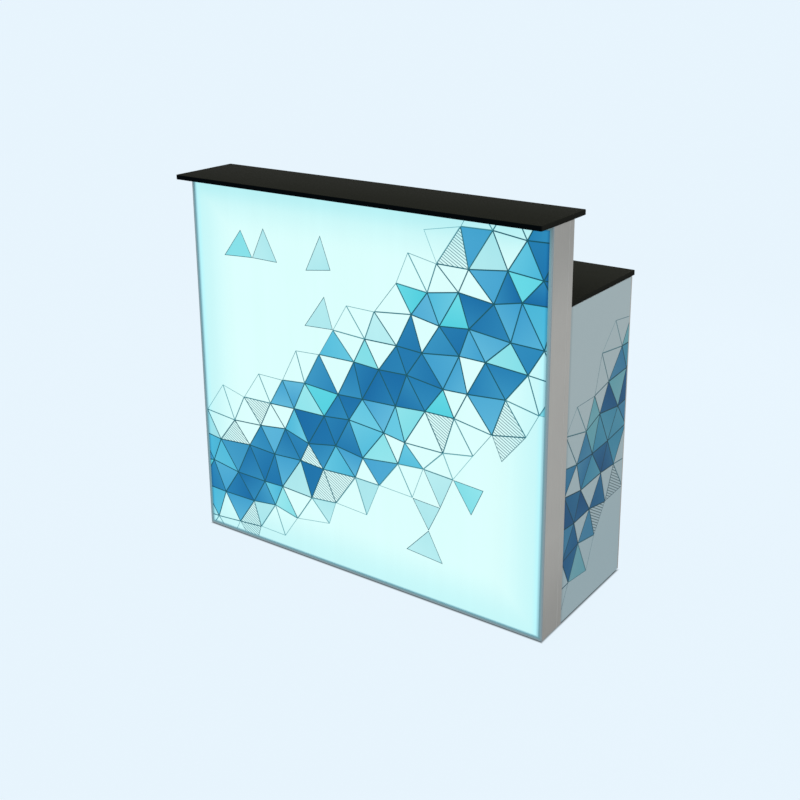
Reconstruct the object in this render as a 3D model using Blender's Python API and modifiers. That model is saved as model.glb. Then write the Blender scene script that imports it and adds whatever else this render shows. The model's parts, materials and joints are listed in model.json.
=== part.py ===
# Exhibition counter with a lit front: a slim textile lightbox under a bar top, and a
# cabinet with two doors, a shelf and a lower desk top behind it.
# Metres, +Z up, the front faces -Y. The origin is on the floor at the centre of the plan.
import math

import bmesh
import bpy
from mathutils import Matrix, Vector

# Overall sizes
BAR_HEIGHT = 1.000
DESK_HEIGHT = 0.800
BODY_WIDTH = 1.056
LIGHTBOX_DEPTH = 0.094
CABINET_DEPTH = 0.317
FLOOR_GAP = 0.003
GAP = 0.0003

# Tops
SLAB_THICK = 0.012
SLAB_CORNER = 0.004
SLAB_CORNER_STEPS = 3
BAR_SIDE_OVERHANG = 0.001
BAR_FRONT_OVERHANG = 0.054
BAR_REAR_OVERHANG = 0.052
DESK_REAR_OVERHANG = 0.018
TOP_SCREW_RADIUS = 0.0025
TOP_SCREW_HEAD_RADIUS = 0.005
TOP_SCREW_HEAD = 0.003
TOP_SCREW_BITE = 0.008
TOP_SCREW_FROM_SIDE = 0.178
TOP_SCREW_FROM_FRONT = 0.035

# Lightbox extrusion, measured in from its outer face and back from its front face
FRAME_WALL = 0.002
RIM_WIDTH = 0.009
RIM_THICK = 0.002
EDGE_GROOVE = 0.0032
EDGE_GROOVE_DEPTH = 0.0135
GROOVE_WALL = 0.0015
REAR_LIP_WIDTH = 0.009
REAR_LIP_THICK = 0.0015
MITRE_GAP = 0.00015

# Lightbox faces
CLOTH_SETBACK = 0.0003
CLOTH_THICK = 0.0008
BACK_PANEL_THICK = 0.003
BACK_PANEL_PLAY = 0.001

# Corner brackets
BRACKET_ARM = 0.070
BRACKET_THICK = 0.006
BRACKET_WIDTH = 0.050
BRACKET_FROM_FRONT = 0.052

# Light bars
LENS_PITCH = 0.060
LENS_WIDTH = 0.024
LENS_TOP_WIDTH = 0.015
LENS_HEIGHT = 0.006
LIGHT_BAR_END_CLEARANCE = 0.030
LIGHT_BAR_THICK = 0.004
LIGHT_BAR_WIDTH = 0.020
LIGHT_BAR_FROM_FRONT = 0.065

# Driver, power inlet and its switch
DRIVER_LENGTH = 0.160
DRIVER_HEIGHT = 0.035
DRIVER_THICK = 0.022
DRIVER_X = -0.080
DRIVER_LEVEL = 0.060
INLET_X = -0.300
INLET_LEVEL = 0.140
INLET_WIDTH = 0.062
INLET_HEIGHT = 0.030
INLET_FLANGE = 0.003
INLET_BODY_WIDTH = 0.052
INLET_BODY_HEIGHT = 0.024
INLET_BODY_DEPTH = 0.022
SOCKET_WIDTH = 0.024
SOCKET_HEIGHT = 0.016
SOCKET_DEPTH = 0.015
SOCKET_OFFSET = -0.0110
PIN_WIDTH = 0.002
PIN_HEIGHT = 0.005
PIN_LENGTH = 0.011
PIN_PITCH = 0.007
SWITCH_OFFSET = 0.0140
SWITCH_WELL_DEPTH = 0.012
ROCKER_WIDTH = 0.015
ROCKER_HALF_HEIGHT = 0.009
ROCKER_WELL_CLEARANCE = 0.001
ROCKER_END_RISE = 0.003
ROCKER_DIP = 0.0015
ROCKER_ROOT = 0.004
ROCKER_ROOT_HALF = 0.005
ROCKER_PIVOT_DEPTH = 0.002
ROCKER_TILT = math.radians(7)

# Leads inside the lightbox
POWER_LEAD_RADIUS = 0.003
LED_LEAD_RADIUS = 0.002
LEAD_STRAIGHT = 0.012
LEAD_SIDE_INSET = 0.023
LEAD_SHOULDER = 0.060

# Cabinet boards
BOARD_THICK = 0.016
PRINT_THICK = 0.001
SIDE_INSET = 0.002
TRIM_WIDTH = 0.005
TRIM_THICK = 0.0012
BASE_LEVEL = 0.060
CABLE_SLOT = 0.030
PLINTH_SETBACK = 0.028
NOTCH_WIDTH = 0.060
NOTCH_HEIGHT = 0.025
NOTCH_X = -0.300
TOP_RAIL_HEIGHT = 0.040

# Shelf and its pegs
SHELF_LEVEL = 0.400
SHELF_SIDE_PLAY = 0.001
SHELF_FRONT_CLEARANCE = 0.060
SHELF_REAR_CLEARANCE = 0.012
PEG_RADIUS = 0.0025
PEG_DEPTH = 0.010
PEG_REACH = 0.010
PEG_INSET = 0.040
PEG_HOLE_PITCH = 0.064
PEG_HOLES_PER_ROW = 3

# Doors and hinges
DOOR_SIDE_GAP = 0.0025
DOOR_MIDDLE_GAP = 0.003
DOOR_TOP_GAP = 0.003
DOOR_LAP_ON_BASE = 0.013
BASE_STOP_GAP = 0.001
HINGE_HEIGHT = 0.050
HINGE_LEAF = 0.0013
HINGE_TAB_INSET = 0.0005
HINGE_FRAME_REACH = 0.015
HINGE_DOOR_REACH = 0.028
HINGE_END_KNUCKLE = 0.014
HINGE_KNUCKLE_GAP = 0.0005
HINGE_KNUCKLE_RADIUS = 0.0029
HINGE_AXIS_RISE = 0.003
HINGE_LEAF_CLEARANCE = 0.0007
HINGE_PIN_RADIUS = 0.0012
HINGE_PIN_HEAD_RADIUS = 0.0024
HINGE_PIN_HEAD = 0.001
HINGE_FROM_DOOR_END = 0.100

# Handles
HANDLE_LENGTH = 0.138
HANDLE_RISE = 0.026
HANDLE_THICK = 0.006
HANDLE_WIDTH = 0.010
HANDLE_FROM_EDGE = 0.045
HANDLE_LEVEL = 0.500

# Cam locks
LOCK_FROM_EDGE = 0.045
LOCK_FROM_DOOR_TOP = 0.022
LOCK_FLANGE_RADIUS = 0.011
LOCK_FLANGE = 0.0025
LOCK_BARREL_RADIUS = 0.008
LOCK_BARREL_PAST_DOOR = 0.002
LOCK_PLUG_RADIUS = 0.006
TONGUE_LENGTH = 0.038
TONGUE_WIDTH = 0.012
TONGUE_THICK = 0.002
KEYWAY_LENGTH = 0.008
KEYWAY_WIDTH = 0.0015
KEYWAY_DEPTH = 0.004

# Levelling feet
FOOT_PAD_RADIUS = 0.009
FOOT_STEM_RADIUS = 0.004
FOOT_STEM_LENGTH = 0.026
FOOT_FRONT_FROM_SIDE = 0.038
FOOT_REAR_FROM_BACK = 0.024
FOOT_HOLE_SPARE = 0.006

# Facets
ROUND_SIDES = 16
FOOT_SIDES = 24
OVERRUN = 0.002
WELD = 1e-6
SMOOTH_ANGLE = math.radians(35)

# Places worked out from the sizes
REAR_REACH = max(DESK_REAR_OVERHANG, HANDLE_RISE)
DEPTH = BAR_FRONT_OVERHANG + LIGHTBOX_DEPTH + CABINET_DEPTH + REAR_REACH
HALF_WIDTH = BODY_WIDTH / 2
FRONT = BAR_FRONT_OVERHANG - DEPTH / 2
SEAM = FRONT + LIGHTBOX_DEPTH
REAR = SEAM + CABINET_DEPTH
LIGHTBOX_TOP = BAR_HEIGHT - SLAB_THICK - GAP
CABINET_TOP = DESK_HEIGHT - SLAB_THICK - GAP
PRINT_OUTER = HALF_WIDTH - SIDE_INSET
PANEL_OUTER = PRINT_OUTER - PRINT_THICK - GAP
PANEL_INNER = PANEL_OUTER - BOARD_THICK
PANEL_REAR = REAR - TRIM_THICK - GAP
BACK_PANEL_REAR = SEAM - REAR_LIP_THICK - GAP
BACK_PANEL_FRONT = BACK_PANEL_REAR - BACK_PANEL_THICK
LIGHT_BAR_Y = FRONT + LIGHT_BAR_FROM_FRONT
LIGHT_BAR_ROOM = HALF_WIDTH - FRAME_WALL - BRACKET_ARM - LIGHT_BAR_END_CLEARANCE
LENSES = 2 * int(LIGHT_BAR_ROOM / LENS_PITCH)
DRIVER_Y = BACK_PANEL_FRONT - GAP - DRIVER_THICK / 2
INLET_FACE = BACK_PANEL_REAR + GAP + INLET_FLANGE
INLET_BACK = BACK_PANEL_REAR - INLET_BODY_DEPTH
BASE_TOP = BASE_LEVEL + BOARD_THICK
DOOR_LOW = BASE_TOP - DOOR_LAP_ON_BASE
DOOR_HIGH = CABINET_TOP - TOP_RAIL_HEIGHT - DOOR_TOP_GAP
DOOR_OUTER_EDGE = PANEL_INNER - DOOR_SIDE_GAP
DOOR_INNER_EDGE = DOOR_MIDDLE_GAP / 2
DOOR_BACK = REAR - BOARD_THICK
HINGE_X = PANEL_INNER - DOOR_SIDE_GAP / 2
HINGE_Y = REAR + GAP + HINGE_AXIS_RISE
HINGE_LEVELS = (DOOR_LOW + HINGE_FROM_DOOR_END, DOOR_HIGH - HINGE_FROM_DOOR_END)
LOCK_LEVEL = DOOR_HIGH - LOCK_FROM_DOOR_TOP
SHELF_FRONT = SEAM + SHELF_FRONT_CLEARANCE
SHELF_REAR = DOOR_BACK - SHELF_REAR_CLEARANCE
FOOT_FRONT_X = HALF_WIDTH - FOOT_FRONT_FROM_SIDE
FOOT_REAR_X = PANEL_OUTER - BOARD_THICK / 2

# Colour, roughness and metallic value of each finish
FINISHES = {
    "frame_silver": ((0.42, 0.42, 0.41), 0.38, 0.9),
    "steel": ((0.55, 0.56, 0.57), 0.35, 0.9),
    "black_laminate": ((0.020, 0.020, 0.017), 0.45, 0.0),
    "lit_textile": ((0.62, 0.98, 0.98), 0.80, 0.0),
    "white_board": ((0.82, 0.84, 0.85), 0.55, 0.0),
    "white_panel": ((0.86, 0.87, 0.87), 0.60, 0.0),
    "printed_skin": ((0.30, 0.48, 0.58), 0.50, 0.0),
    "light_bar_white": ((0.90, 0.92, 0.92), 0.40, 0.0),
    "black_plastic": ((0.030, 0.030, 0.032), 0.50, 0.0),
    "lead_black": ((0.020, 0.020, 0.020), 0.60, 0.0),
}

# Which way an outline's two directions and its thickness point
ACROSS_XY = Matrix.Identity(3)
ACROSS_YZ = Matrix(((0, 0, 1), (1, 0, 0), (0, 1, 0)))
ACROSS_XZ = Matrix(((1, 0, 0), (0, 0, -1), (0, 1, 0)))


def clear_scene():
    for item in list(bpy.data.objects):
        bpy.data.objects.remove(item)


def new_collection(name):
    collection = bpy.data.collections.new(name)
    bpy.context.scene.collection.children.link(collection)
    return collection


def new_finish(name):
    colour, roughness, metallic = FINISHES[name]
    finish = bpy.data.materials.new(name)
    finish.use_nodes = True
    shader = finish.node_tree.nodes["Principled BSDF"]
    shader.inputs["Base Color"].default_value = (*colour, 1)
    shader.inputs["Roughness"].default_value = roughness
    shader.inputs["Metallic"].default_value = metallic
    return finish


def place_mesh(name, mesh, finish, place, turn=None):
    """A piece of the counter, or a cutter where it has no finish."""
    piece = bpy.data.objects.new(name, mesh)
    piece.location = place
    if turn is not None:
        piece.rotation_euler = turn.to_euler()
    if finish is None:
        cutters.objects.link(piece)
        piece.hide_render = True
        piece.display_type = "WIRE"
    else:
        counter.objects.link(piece)
        mesh.materials.append(finishes[finish])
    return piece


def mesh_from(bm, name):
    mesh = bpy.data.meshes.new(name)
    bmesh.ops.recalc_face_normals(bm, faces=bm.faces)
    bm.to_mesh(mesh)
    bm.free()
    return mesh


def cube_between(low, high, origin):
    """A bmesh box between two corners, in the coordinates of an object placed at origin."""
    bm = bmesh.new()
    bmesh.ops.create_cube(bm, size=1)
    size = Vector(high) - Vector(low)
    middle = (Vector(high) + Vector(low)) / 2 - Vector(origin)
    bmesh.ops.scale(bm, vec=size, verts=bm.verts)
    bmesh.ops.translate(bm, vec=middle, verts=bm.verts)
    return bm


def box(name, low, high, finish=None, origin=None):
    origin = origin or (Vector(low) + Vector(high)) / 2
    return place_mesh(name, mesh_from(cube_between(low, high, origin), name), finish, origin)


def slab(name, low, high, finish):
    """A board lying flat, with its upright corners rounded."""
    origin = (Vector(low) + Vector(high)) / 2
    bm = cube_between(low, high, origin)
    upright = [edge for edge in bm.edges if (edge.verts[0].co - edge.verts[1].co).xy.length < WELD]
    bmesh.ops.bevel(
        bm, geom=upright, offset=SLAB_CORNER, segments=SLAB_CORNER_STEPS,
        affect="EDGES", profile=0.5, material=-1,
    )
    return place_mesh(name, mesh_from(bm, name), finish, origin)


def cylinder(name, radius, low, high, finish=None, along="Z", origin=None):
    """A cylinder from the point low to the point high, which differ along one axis."""
    low, high = Vector(low), Vector(high)
    origin = Vector(origin) if origin else (low + high) / 2
    turns = {"X": Matrix.Rotation(math.pi / 2, 4, "Y"), "Y": Matrix.Rotation(math.pi / 2, 4, "X")}
    bm = bmesh.new()
    bmesh.ops.create_cone(
        bm, cap_ends=True, segments=ROUND_SIDES, radius1=radius, radius2=radius,
        depth=(high - low).length, matrix=turns.get(along, Matrix.Identity(4)),
    )
    bmesh.ops.translate(bm, vec=(low + high) / 2 - origin, verts=bm.verts)
    mesh = mesh_from(bm, name)
    smooth(mesh)
    return place_mesh(name, mesh, finish, origin)


def smooth(mesh):
    mesh.shade_smooth()
    mesh.set_sharp_from_angle(angle=SMOOTH_ANGLE)


def outline_mesh(name, points, thickness):
    """A flat outline as a 2D curve, given its thickness and made one welded mesh."""
    curve = bpy.data.curves.new(name, "CURVE")
    curve.dimensions = "2D"
    curve.fill_mode = "BOTH"
    curve.extrude = thickness / 2
    spline = curve.splines.new("POLY")
    spline.points.add(len(points) - 1)
    for point, (across, up) in zip(spline.points, points):
        point.co = (across, up, 0, 1)
    spline.use_cyclic_u = True
    source = bpy.data.objects.new(name, curve)
    cutters.objects.link(source)
    bpy.context.view_layer.update()
    solid = source.evaluated_get(bpy.context.evaluated_depsgraph_get())
    mesh = bpy.data.meshes.new_from_object(solid)
    bpy.data.objects.remove(source)
    bm = bmesh.new()
    bm.from_mesh(mesh)
    bmesh.ops.remove_doubles(bm, verts=bm.verts, dist=WELD)
    bmesh.ops.recalc_face_normals(bm, faces=bm.faces)
    bm.to_mesh(mesh)
    bm.free()
    return mesh


def outline(name, points, thickness, plane, place, finish=None):
    return place_mesh(name, outline_mesh(name, points, thickness), finish, place, plane)


def turned(name, profile, finish, place, sides=ROUND_SIDES, turn=None, closed=False):
    """A profile of (radius, height) turned about its own Z. It runs down the outer side."""
    count = len(profile)
    edges = [(i, i + 1) for i in range(count - 1)]
    if closed:
        edges.append((count - 1, 0))
    mesh = bpy.data.meshes.new(name)
    mesh.from_pydata([(radius, 0, height) for radius, height in profile], edges, [])
    piece = place_mesh(name, mesh, finish, place, turn)
    screw = piece.modifiers.new("turn", "SCREW")
    screw.steps = sides
    screw.render_steps = sides
    screw.use_merge_vertices = True
    screw.merge_threshold = WELD
    screw.use_smooth_shade = False
    return piece


def change(piece, tool, operation="DIFFERENCE"):
    step = piece.modifiers.new(tool.name, "BOOLEAN")
    step.operation = operation
    step.object = tool


def carry(parent, *pieces):
    """Parents pieces that move with another, which is itself placed without a rotation."""
    for piece in pieces:
        piece.parent = parent
        piece.location = piece.location - parent.location


def frame_profile():
    """The extrusion's section: distance in from its outer face, distance back from its front."""
    groove_end = RIM_WIDTH + EDGE_GROOVE
    cloth_back = CLOTH_SETBACK + CLOTH_THICK + GAP
    slot_rear = LIGHTBOX_DEPTH - REAR_LIP_THICK
    slot_front = slot_rear - BACK_PANEL_THICK - 2 * GAP
    ledge = slot_front - REAR_LIP_THICK
    return [
        (0, 0),
        (RIM_WIDTH, 0),
        (RIM_WIDTH, EDGE_GROOVE_DEPTH),
        (groove_end, EDGE_GROOVE_DEPTH),
        (groove_end, cloth_back),
        (groove_end + GROOVE_WALL, cloth_back),
        (groove_end + GROOVE_WALL, EDGE_GROOVE_DEPTH + GROOVE_WALL),
        (RIM_WIDTH - GROOVE_WALL, EDGE_GROOVE_DEPTH + GROOVE_WALL),
        (RIM_WIDTH - GROOVE_WALL, RIM_THICK),
        (FRAME_WALL, RIM_THICK),
        (FRAME_WALL, ledge),
        (REAR_LIP_WIDTH, ledge),
        (REAR_LIP_WIDTH, slot_front),
        (FRAME_WALL, slot_front),
        (FRAME_WALL, slot_rear),
        (REAR_LIP_WIDTH, slot_rear),
        (REAR_LIP_WIDTH, LIGHTBOX_DEPTH),
        (0, LIGHTBOX_DEPTH),
    ]


def frame_member(name, length, inward, place):
    """One side of the lightbox frame, its ends mitred by drawing each point in by its depth."""
    mesh = outline_mesh(name, frame_profile(), length)
    for vertex in mesh.vertices:
        draw_in = vertex.co.x + MITRE_GAP
        vertex.co.z -= math.copysign(draw_in, vertex.co.z)
    inward, back = Vector(inward), Vector((0, 1, 0))
    turn = Matrix((inward, back, inward.cross(back))).transposed()
    return place_mesh(name, mesh, "frame_silver", place, turn)


def make_frame():
    height = LIGHTBOX_TOP - FLOOR_GAP
    middle = (LIGHTBOX_TOP + FLOOR_GAP) / 2
    top = frame_member("frame_top", BODY_WIDTH, (0, 0, -1), (0, FRONT, LIGHTBOX_TOP))
    bottom = frame_member("frame_bottom", BODY_WIDTH, (0, 0, 1), (0, FRONT, FLOOR_GAP))
    frame_member("frame_left", height, (1, 0, 0), (-HALF_WIDTH, FRONT, middle))
    frame_member("frame_right", height, (-1, 0, 0), (HALF_WIDTH, FRONT, middle))
    return top, bottom


def make_bracket(name, side, upright):
    """An L-shaped corner bracket inside the frame, at left or right (side) and low or high."""
    corner_x = HALF_WIDTH - FRAME_WALL - GAP
    low = FLOOR_GAP + FRAME_WALL + GAP
    high = LIGHTBOX_TOP - FRAME_WALL - GAP
    shape = [
        (0, 0),
        (BRACKET_ARM, 0),
        (BRACKET_ARM, BRACKET_THICK),
        (BRACKET_THICK, BRACKET_THICK),
        (BRACKET_THICK, BRACKET_ARM),
        (0, BRACKET_ARM),
    ]
    points = [(-side * across, upright * up) for across, up in shape]
    place = (side * corner_x, FRONT + BRACKET_FROM_FRONT, low if upright > 0 else high)
    return outline(name, points, BRACKET_WIDTH, ACROSS_XZ, place, "steel")


def make_front_graphic():
    """The stretched cloth and the strip sewn round its edge, which fills the groove."""
    reach = RIM_WIDTH + GAP
    strip = EDGE_GROOVE - 2 * GAP
    low = Vector((reach - HALF_WIDTH, FRONT + CLOTH_SETBACK, FLOOR_GAP + reach))
    high = Vector((HALF_WIDTH - reach, FRONT + EDGE_GROOVE_DEPTH - GAP, LIGHTBOX_TOP - reach))
    origin = (low + high) / 2
    bm = cube_between(low, high, origin)
    rear = max(bm.faces, key=lambda face: face.calc_center_median().y)
    bmesh.ops.inset_individual(bm, faces=[rear], thickness=strip)
    inner = bmesh.ops.extrude_discrete_faces(bm, faces=[rear])["faces"][0]
    hollow = high.y - low.y - CLOTH_THICK
    bmesh.ops.translate(bm, vec=(0, -hollow, 0), verts=inner.verts)
    place_mesh("front_graphic", mesh_from(bm, "front_graphic"), "lit_textile", origin)


def make_back_panel():
    reach = FRAME_WALL + BACK_PANEL_PLAY
    panel = box(
        "back_panel",
        (reach - HALF_WIDTH, BACK_PANEL_FRONT, FLOOR_GAP + reach),
        (HALF_WIDTH - reach, BACK_PANEL_REAR, LIGHTBOX_TOP - reach),
        "white_panel",
    )
    half_width = INLET_BODY_WIDTH / 2 + GAP
    half_height = INLET_BODY_HEIGHT / 2 + GAP
    window = box(
        "inlet_window",
        (INLET_X - half_width, BACK_PANEL_FRONT - OVERRUN, INLET_LEVEL - half_height),
        (INLET_X + half_width, BACK_PANEL_REAR + OVERRUN, INLET_LEVEL + half_height),
    )
    change(panel, window)


def make_light_bar(name, upright):
    """A bar with a row of lenses, on the frame's lower side (upright 1) or upper side (-1)."""
    half_length = LENS_PITCH * LENSES / 2
    points = [(-half_length, 0), (-half_length, LIGHT_BAR_THICK)]
    for index in range(LENSES):
        middle = (index + 0.5) * LENS_PITCH - half_length
        points += [
            (middle - LENS_WIDTH / 2, LIGHT_BAR_THICK),
            (middle - LENS_TOP_WIDTH / 2, LIGHT_BAR_THICK + LENS_HEIGHT),
            (middle + LENS_TOP_WIDTH / 2, LIGHT_BAR_THICK + LENS_HEIGHT),
            (middle + LENS_WIDTH / 2, LIGHT_BAR_THICK),
        ]
    points += [(half_length, LIGHT_BAR_THICK), (half_length, 0)]
    points = [(across, upright * up) for across, up in points]
    low = FLOOR_GAP + FRAME_WALL + GAP
    high = LIGHTBOX_TOP - FRAME_WALL - GAP
    place = (0, LIGHT_BAR_Y, low if upright > 0 else high)
    outline(name, points, LIGHT_BAR_WIDTH, ACROSS_XZ, place, "light_bar_white")


def make_driver():
    box(
        "led_driver",
        (DRIVER_X - DRIVER_LENGTH / 2, DRIVER_Y - DRIVER_THICK / 2, DRIVER_LEVEL - DRIVER_HEIGHT / 2),
        (DRIVER_X + DRIVER_LENGTH / 2, DRIVER_Y + DRIVER_THICK / 2, DRIVER_LEVEL + DRIVER_HEIGHT / 2),
        "black_plastic",
    )


def make_inlet():
    """A mains inlet with its switch, set in the lightbox's back panel inside the cabinet."""
    inlet = box(
        "power_inlet",
        (INLET_X - INLET_WIDTH / 2, BACK_PANEL_REAR + GAP, INLET_LEVEL - INLET_HEIGHT / 2),
        (INLET_X + INLET_WIDTH / 2, INLET_FACE, INLET_LEVEL + INLET_HEIGHT / 2),
        "black_plastic",
    )
    body = box(
        "inlet_body",
        (INLET_X - INLET_BODY_WIDTH / 2, INLET_BACK, INLET_LEVEL - INLET_BODY_HEIGHT / 2),
        (INLET_X + INLET_BODY_WIDTH / 2, INLET_FACE - INLET_FLANGE / 2,
         INLET_LEVEL + INLET_BODY_HEIGHT / 2),
    )
    change(inlet, body, "UNION")
    socket_x = INLET_X + SOCKET_OFFSET
    socket = box(
        "inlet_socket",
        (socket_x - SOCKET_WIDTH / 2, INLET_FACE - SOCKET_DEPTH, INLET_LEVEL - SOCKET_HEIGHT / 2),
        (socket_x + SOCKET_WIDTH / 2, INLET_FACE + OVERRUN, INLET_LEVEL + SOCKET_HEIGHT / 2),
    )
    change(inlet, socket)
    well_half = ROCKER_WIDTH / 2 + GAP
    well_height = ROCKER_HALF_HEIGHT + ROCKER_WELL_CLEARANCE
    switch_x = INLET_X + SWITCH_OFFSET
    well = box(
        "switch_well",
        (switch_x - well_half, INLET_FACE - SWITCH_WELL_DEPTH, INLET_LEVEL - well_height),
        (switch_x + well_half, INLET_FACE + OVERRUN, INLET_LEVEL + well_height),
    )
    change(inlet, well)
    for index in (-1, 0, 1):
        pin_x = socket_x + index * PIN_PITCH
        floor = INLET_FACE - SOCKET_DEPTH
        pin = box(
            f"inlet_pin_{index + 2}",
            (pin_x - PIN_WIDTH / 2, floor - OVERRUN, INLET_LEVEL - PIN_HEIGHT / 2),
            (pin_x + PIN_WIDTH / 2, floor + PIN_LENGTH, INLET_LEVEL + PIN_HEIGHT / 2),
        )
        change(inlet, pin, "UNION")
    shape = [
        (-ROCKER_ROOT, -ROCKER_ROOT_HALF),
        (-ROCKER_ROOT, ROCKER_ROOT_HALF),
        (0, ROCKER_HALF_HEIGHT),
        (ROCKER_END_RISE, ROCKER_HALF_HEIGHT),
        (ROCKER_DIP, 0),
        (ROCKER_END_RISE, -ROCKER_HALF_HEIGHT),
        (0, -ROCKER_HALF_HEIGHT),
    ]
    pivot = (switch_x, INLET_FACE - ROCKER_PIVOT_DEPTH, INLET_LEVEL)
    pressed = Matrix.Rotation(ROCKER_TILT, 3, "X") @ ACROSS_YZ
    outline("switch_rocker", shape, ROCKER_WIDTH, pressed, pivot, "black_plastic")


def make_lead(name, route, radius):
    curve = bpy.data.curves.new(name, "CURVE")
    curve.dimensions = "3D"
    curve.bevel_depth = radius
    curve.bevel_resolution = 1
    curve.resolution_u = 5
    curve.use_fill_caps = True
    spline = curve.splines.new("BEZIER")
    spline.bezier_points.add(len(route) - 1)
    for point, place in zip(spline.bezier_points, route):
        point.co = place
        point.handle_left_type = "AUTO"
        point.handle_right_type = "AUTO"
    lead = bpy.data.objects.new(name, curve)
    curve.materials.append(finishes["lead_black"])
    counter.objects.link(lead)


def make_leads():
    inlet_end = INLET_BACK - GAP
    driver_low_x = DRIVER_X - DRIVER_LENGTH / 2 - GAP
    driver_high_x = DRIVER_X + DRIVER_LENGTH / 2 + GAP
    halfway = (INLET_X + driver_low_x) / 2
    make_lead(
        "power_lead",
        [
            (INLET_X, inlet_end, INLET_LEVEL),
            (INLET_X, inlet_end - LEAD_STRAIGHT, INLET_LEVEL),
            (halfway, DRIVER_Y - LEAD_STRAIGHT, (INLET_LEVEL + DRIVER_LEVEL) / 2),
            (driver_low_x - LEAD_STRAIGHT, DRIVER_Y, DRIVER_LEVEL),
            (driver_low_x, DRIVER_Y, DRIVER_LEVEL),
        ],
        POWER_LEAD_RADIUS,
    )
    low_face = FLOOR_GAP + FRAME_WALL + GAP + LIGHT_BAR_THICK + GAP
    low_level = DRIVER_LEVEL - DRIVER_HEIGHT / 4
    high_level = DRIVER_LEVEL + DRIVER_HEIGHT / 4
    make_lead(
        "led_lead_bottom",
        [
            (driver_high_x, DRIVER_Y, low_level),
            (driver_high_x + LEAD_STRAIGHT, DRIVER_Y, low_level),
            (LENS_PITCH, LIGHT_BAR_Y, low_face + 2 * LEAD_STRAIGHT),
            (LENS_PITCH, LIGHT_BAR_Y, low_face + LEAD_STRAIGHT),
            (LENS_PITCH, LIGHT_BAR_Y, low_face),
        ],
        LED_LEAD_RADIUS,
    )
    high_face = LIGHTBOX_TOP - FRAME_WALL - GAP - LIGHT_BAR_THICK - GAP
    side_x = HALF_WIDTH - LEAD_SIDE_INSET
    landing_x = LENS_PITCH * (LENSES / 2 - 1)
    run_level = DRIVER_LEVEL + DRIVER_HEIGHT
    make_lead(
        "led_lead_top",
        [
            (driver_high_x, DRIVER_Y, high_level),
            (driver_high_x + LEAD_STRAIGHT, DRIVER_Y, high_level),
            (driver_high_x + LEAD_SHOULDER, DRIVER_Y, run_level),
            (side_x - LEAD_SHOULDER, DRIVER_Y, run_level),
            (side_x, DRIVER_Y, run_level + LEAD_SHOULDER),
            (side_x, DRIVER_Y, run_level + 2 * LEAD_SHOULDER),
            (side_x, DRIVER_Y, (run_level + high_face) / 2),
            (side_x, DRIVER_Y, high_face - 3 * LEAD_SHOULDER),
            (side_x, DRIVER_Y, high_face - 2 * LEAD_SHOULDER),
            (landing_x + LEAD_SHOULDER, LIGHT_BAR_Y, high_face - LEAD_SHOULDER),
            (landing_x, LIGHT_BAR_Y, high_face - 2 * LEAD_STRAIGHT),
            (landing_x, LIGHT_BAR_Y, high_face),
        ],
        LED_LEAD_RADIUS,
    )


def make_tops(frame_top):
    bar = slab(
        "bar_top",
        (-HALF_WIDTH - BAR_SIDE_OVERHANG, FRONT - BAR_FRONT_OVERHANG, BAR_HEIGHT - SLAB_THICK),
        (HALF_WIDTH + BAR_SIDE_OVERHANG, SEAM + BAR_REAR_OVERHANG, BAR_HEIGHT),
        "black_laminate",
    )
    slab(
        "desk_top",
        (-PANEL_OUTER, SEAM + GAP, DESK_HEIGHT - SLAB_THICK),
        (PANEL_OUTER, REAR + DESK_REAR_OVERHANG, DESK_HEIGHT),
        "black_laminate",
    )
    screw_y = FRONT + TOP_SCREW_FROM_FRONT
    head_high = LIGHTBOX_TOP - FRAME_WALL - GAP
    tip = BAR_HEIGHT - SLAB_THICK + TOP_SCREW_BITE
    profile = [
        (0, tip - head_high),
        (TOP_SCREW_RADIUS, tip - head_high),
        (TOP_SCREW_RADIUS, 0),
        (TOP_SCREW_HEAD_RADIUS, 0),
        (TOP_SCREW_HEAD_RADIUS, -TOP_SCREW_HEAD),
        (0, -TOP_SCREW_HEAD),
    ]
    for side, word in ((-1, "left"), (1, "right")):
        place = (side * (HALF_WIDTH - TOP_SCREW_FROM_SIDE), screw_y, head_high)
        turned(f"bar_top_screw_{word}", profile, "steel", place)
        hole = cylinder(
            f"bar_top_hole_{word}",
            TOP_SCREW_RADIUS + GAP,
            (place[0], screw_y, head_high - OVERRUN),
            (place[0], screw_y, tip + GAP),
        )
        change(bar, hole)
        change(frame_top, hole)


def make_foot(name, x, y, *held_by):
    """A levelling foot: a pad on the floor and a stem up into what it carries."""
    pad_top = FLOOR_GAP - GAP
    stem_top = FLOOR_GAP + FOOT_STEM_LENGTH
    profile = [
        (0, stem_top),
        (FOOT_STEM_RADIUS, stem_top),
        (FOOT_STEM_RADIUS, pad_top),
        (FOOT_PAD_RADIUS, pad_top),
        (FOOT_PAD_RADIUS, 0),
        (0, 0),
    ]
    turned(name, profile, "black_plastic", (x, y, 0), FOOT_SIDES)
    hole = cylinder(
        f"{name}_hole",
        FOOT_STEM_RADIUS + GAP,
        (x, y, -OVERRUN),
        (x, y, stem_top + FOOT_HOLE_SPARE),
    )
    for piece in held_by:
        change(piece, hole)


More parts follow.
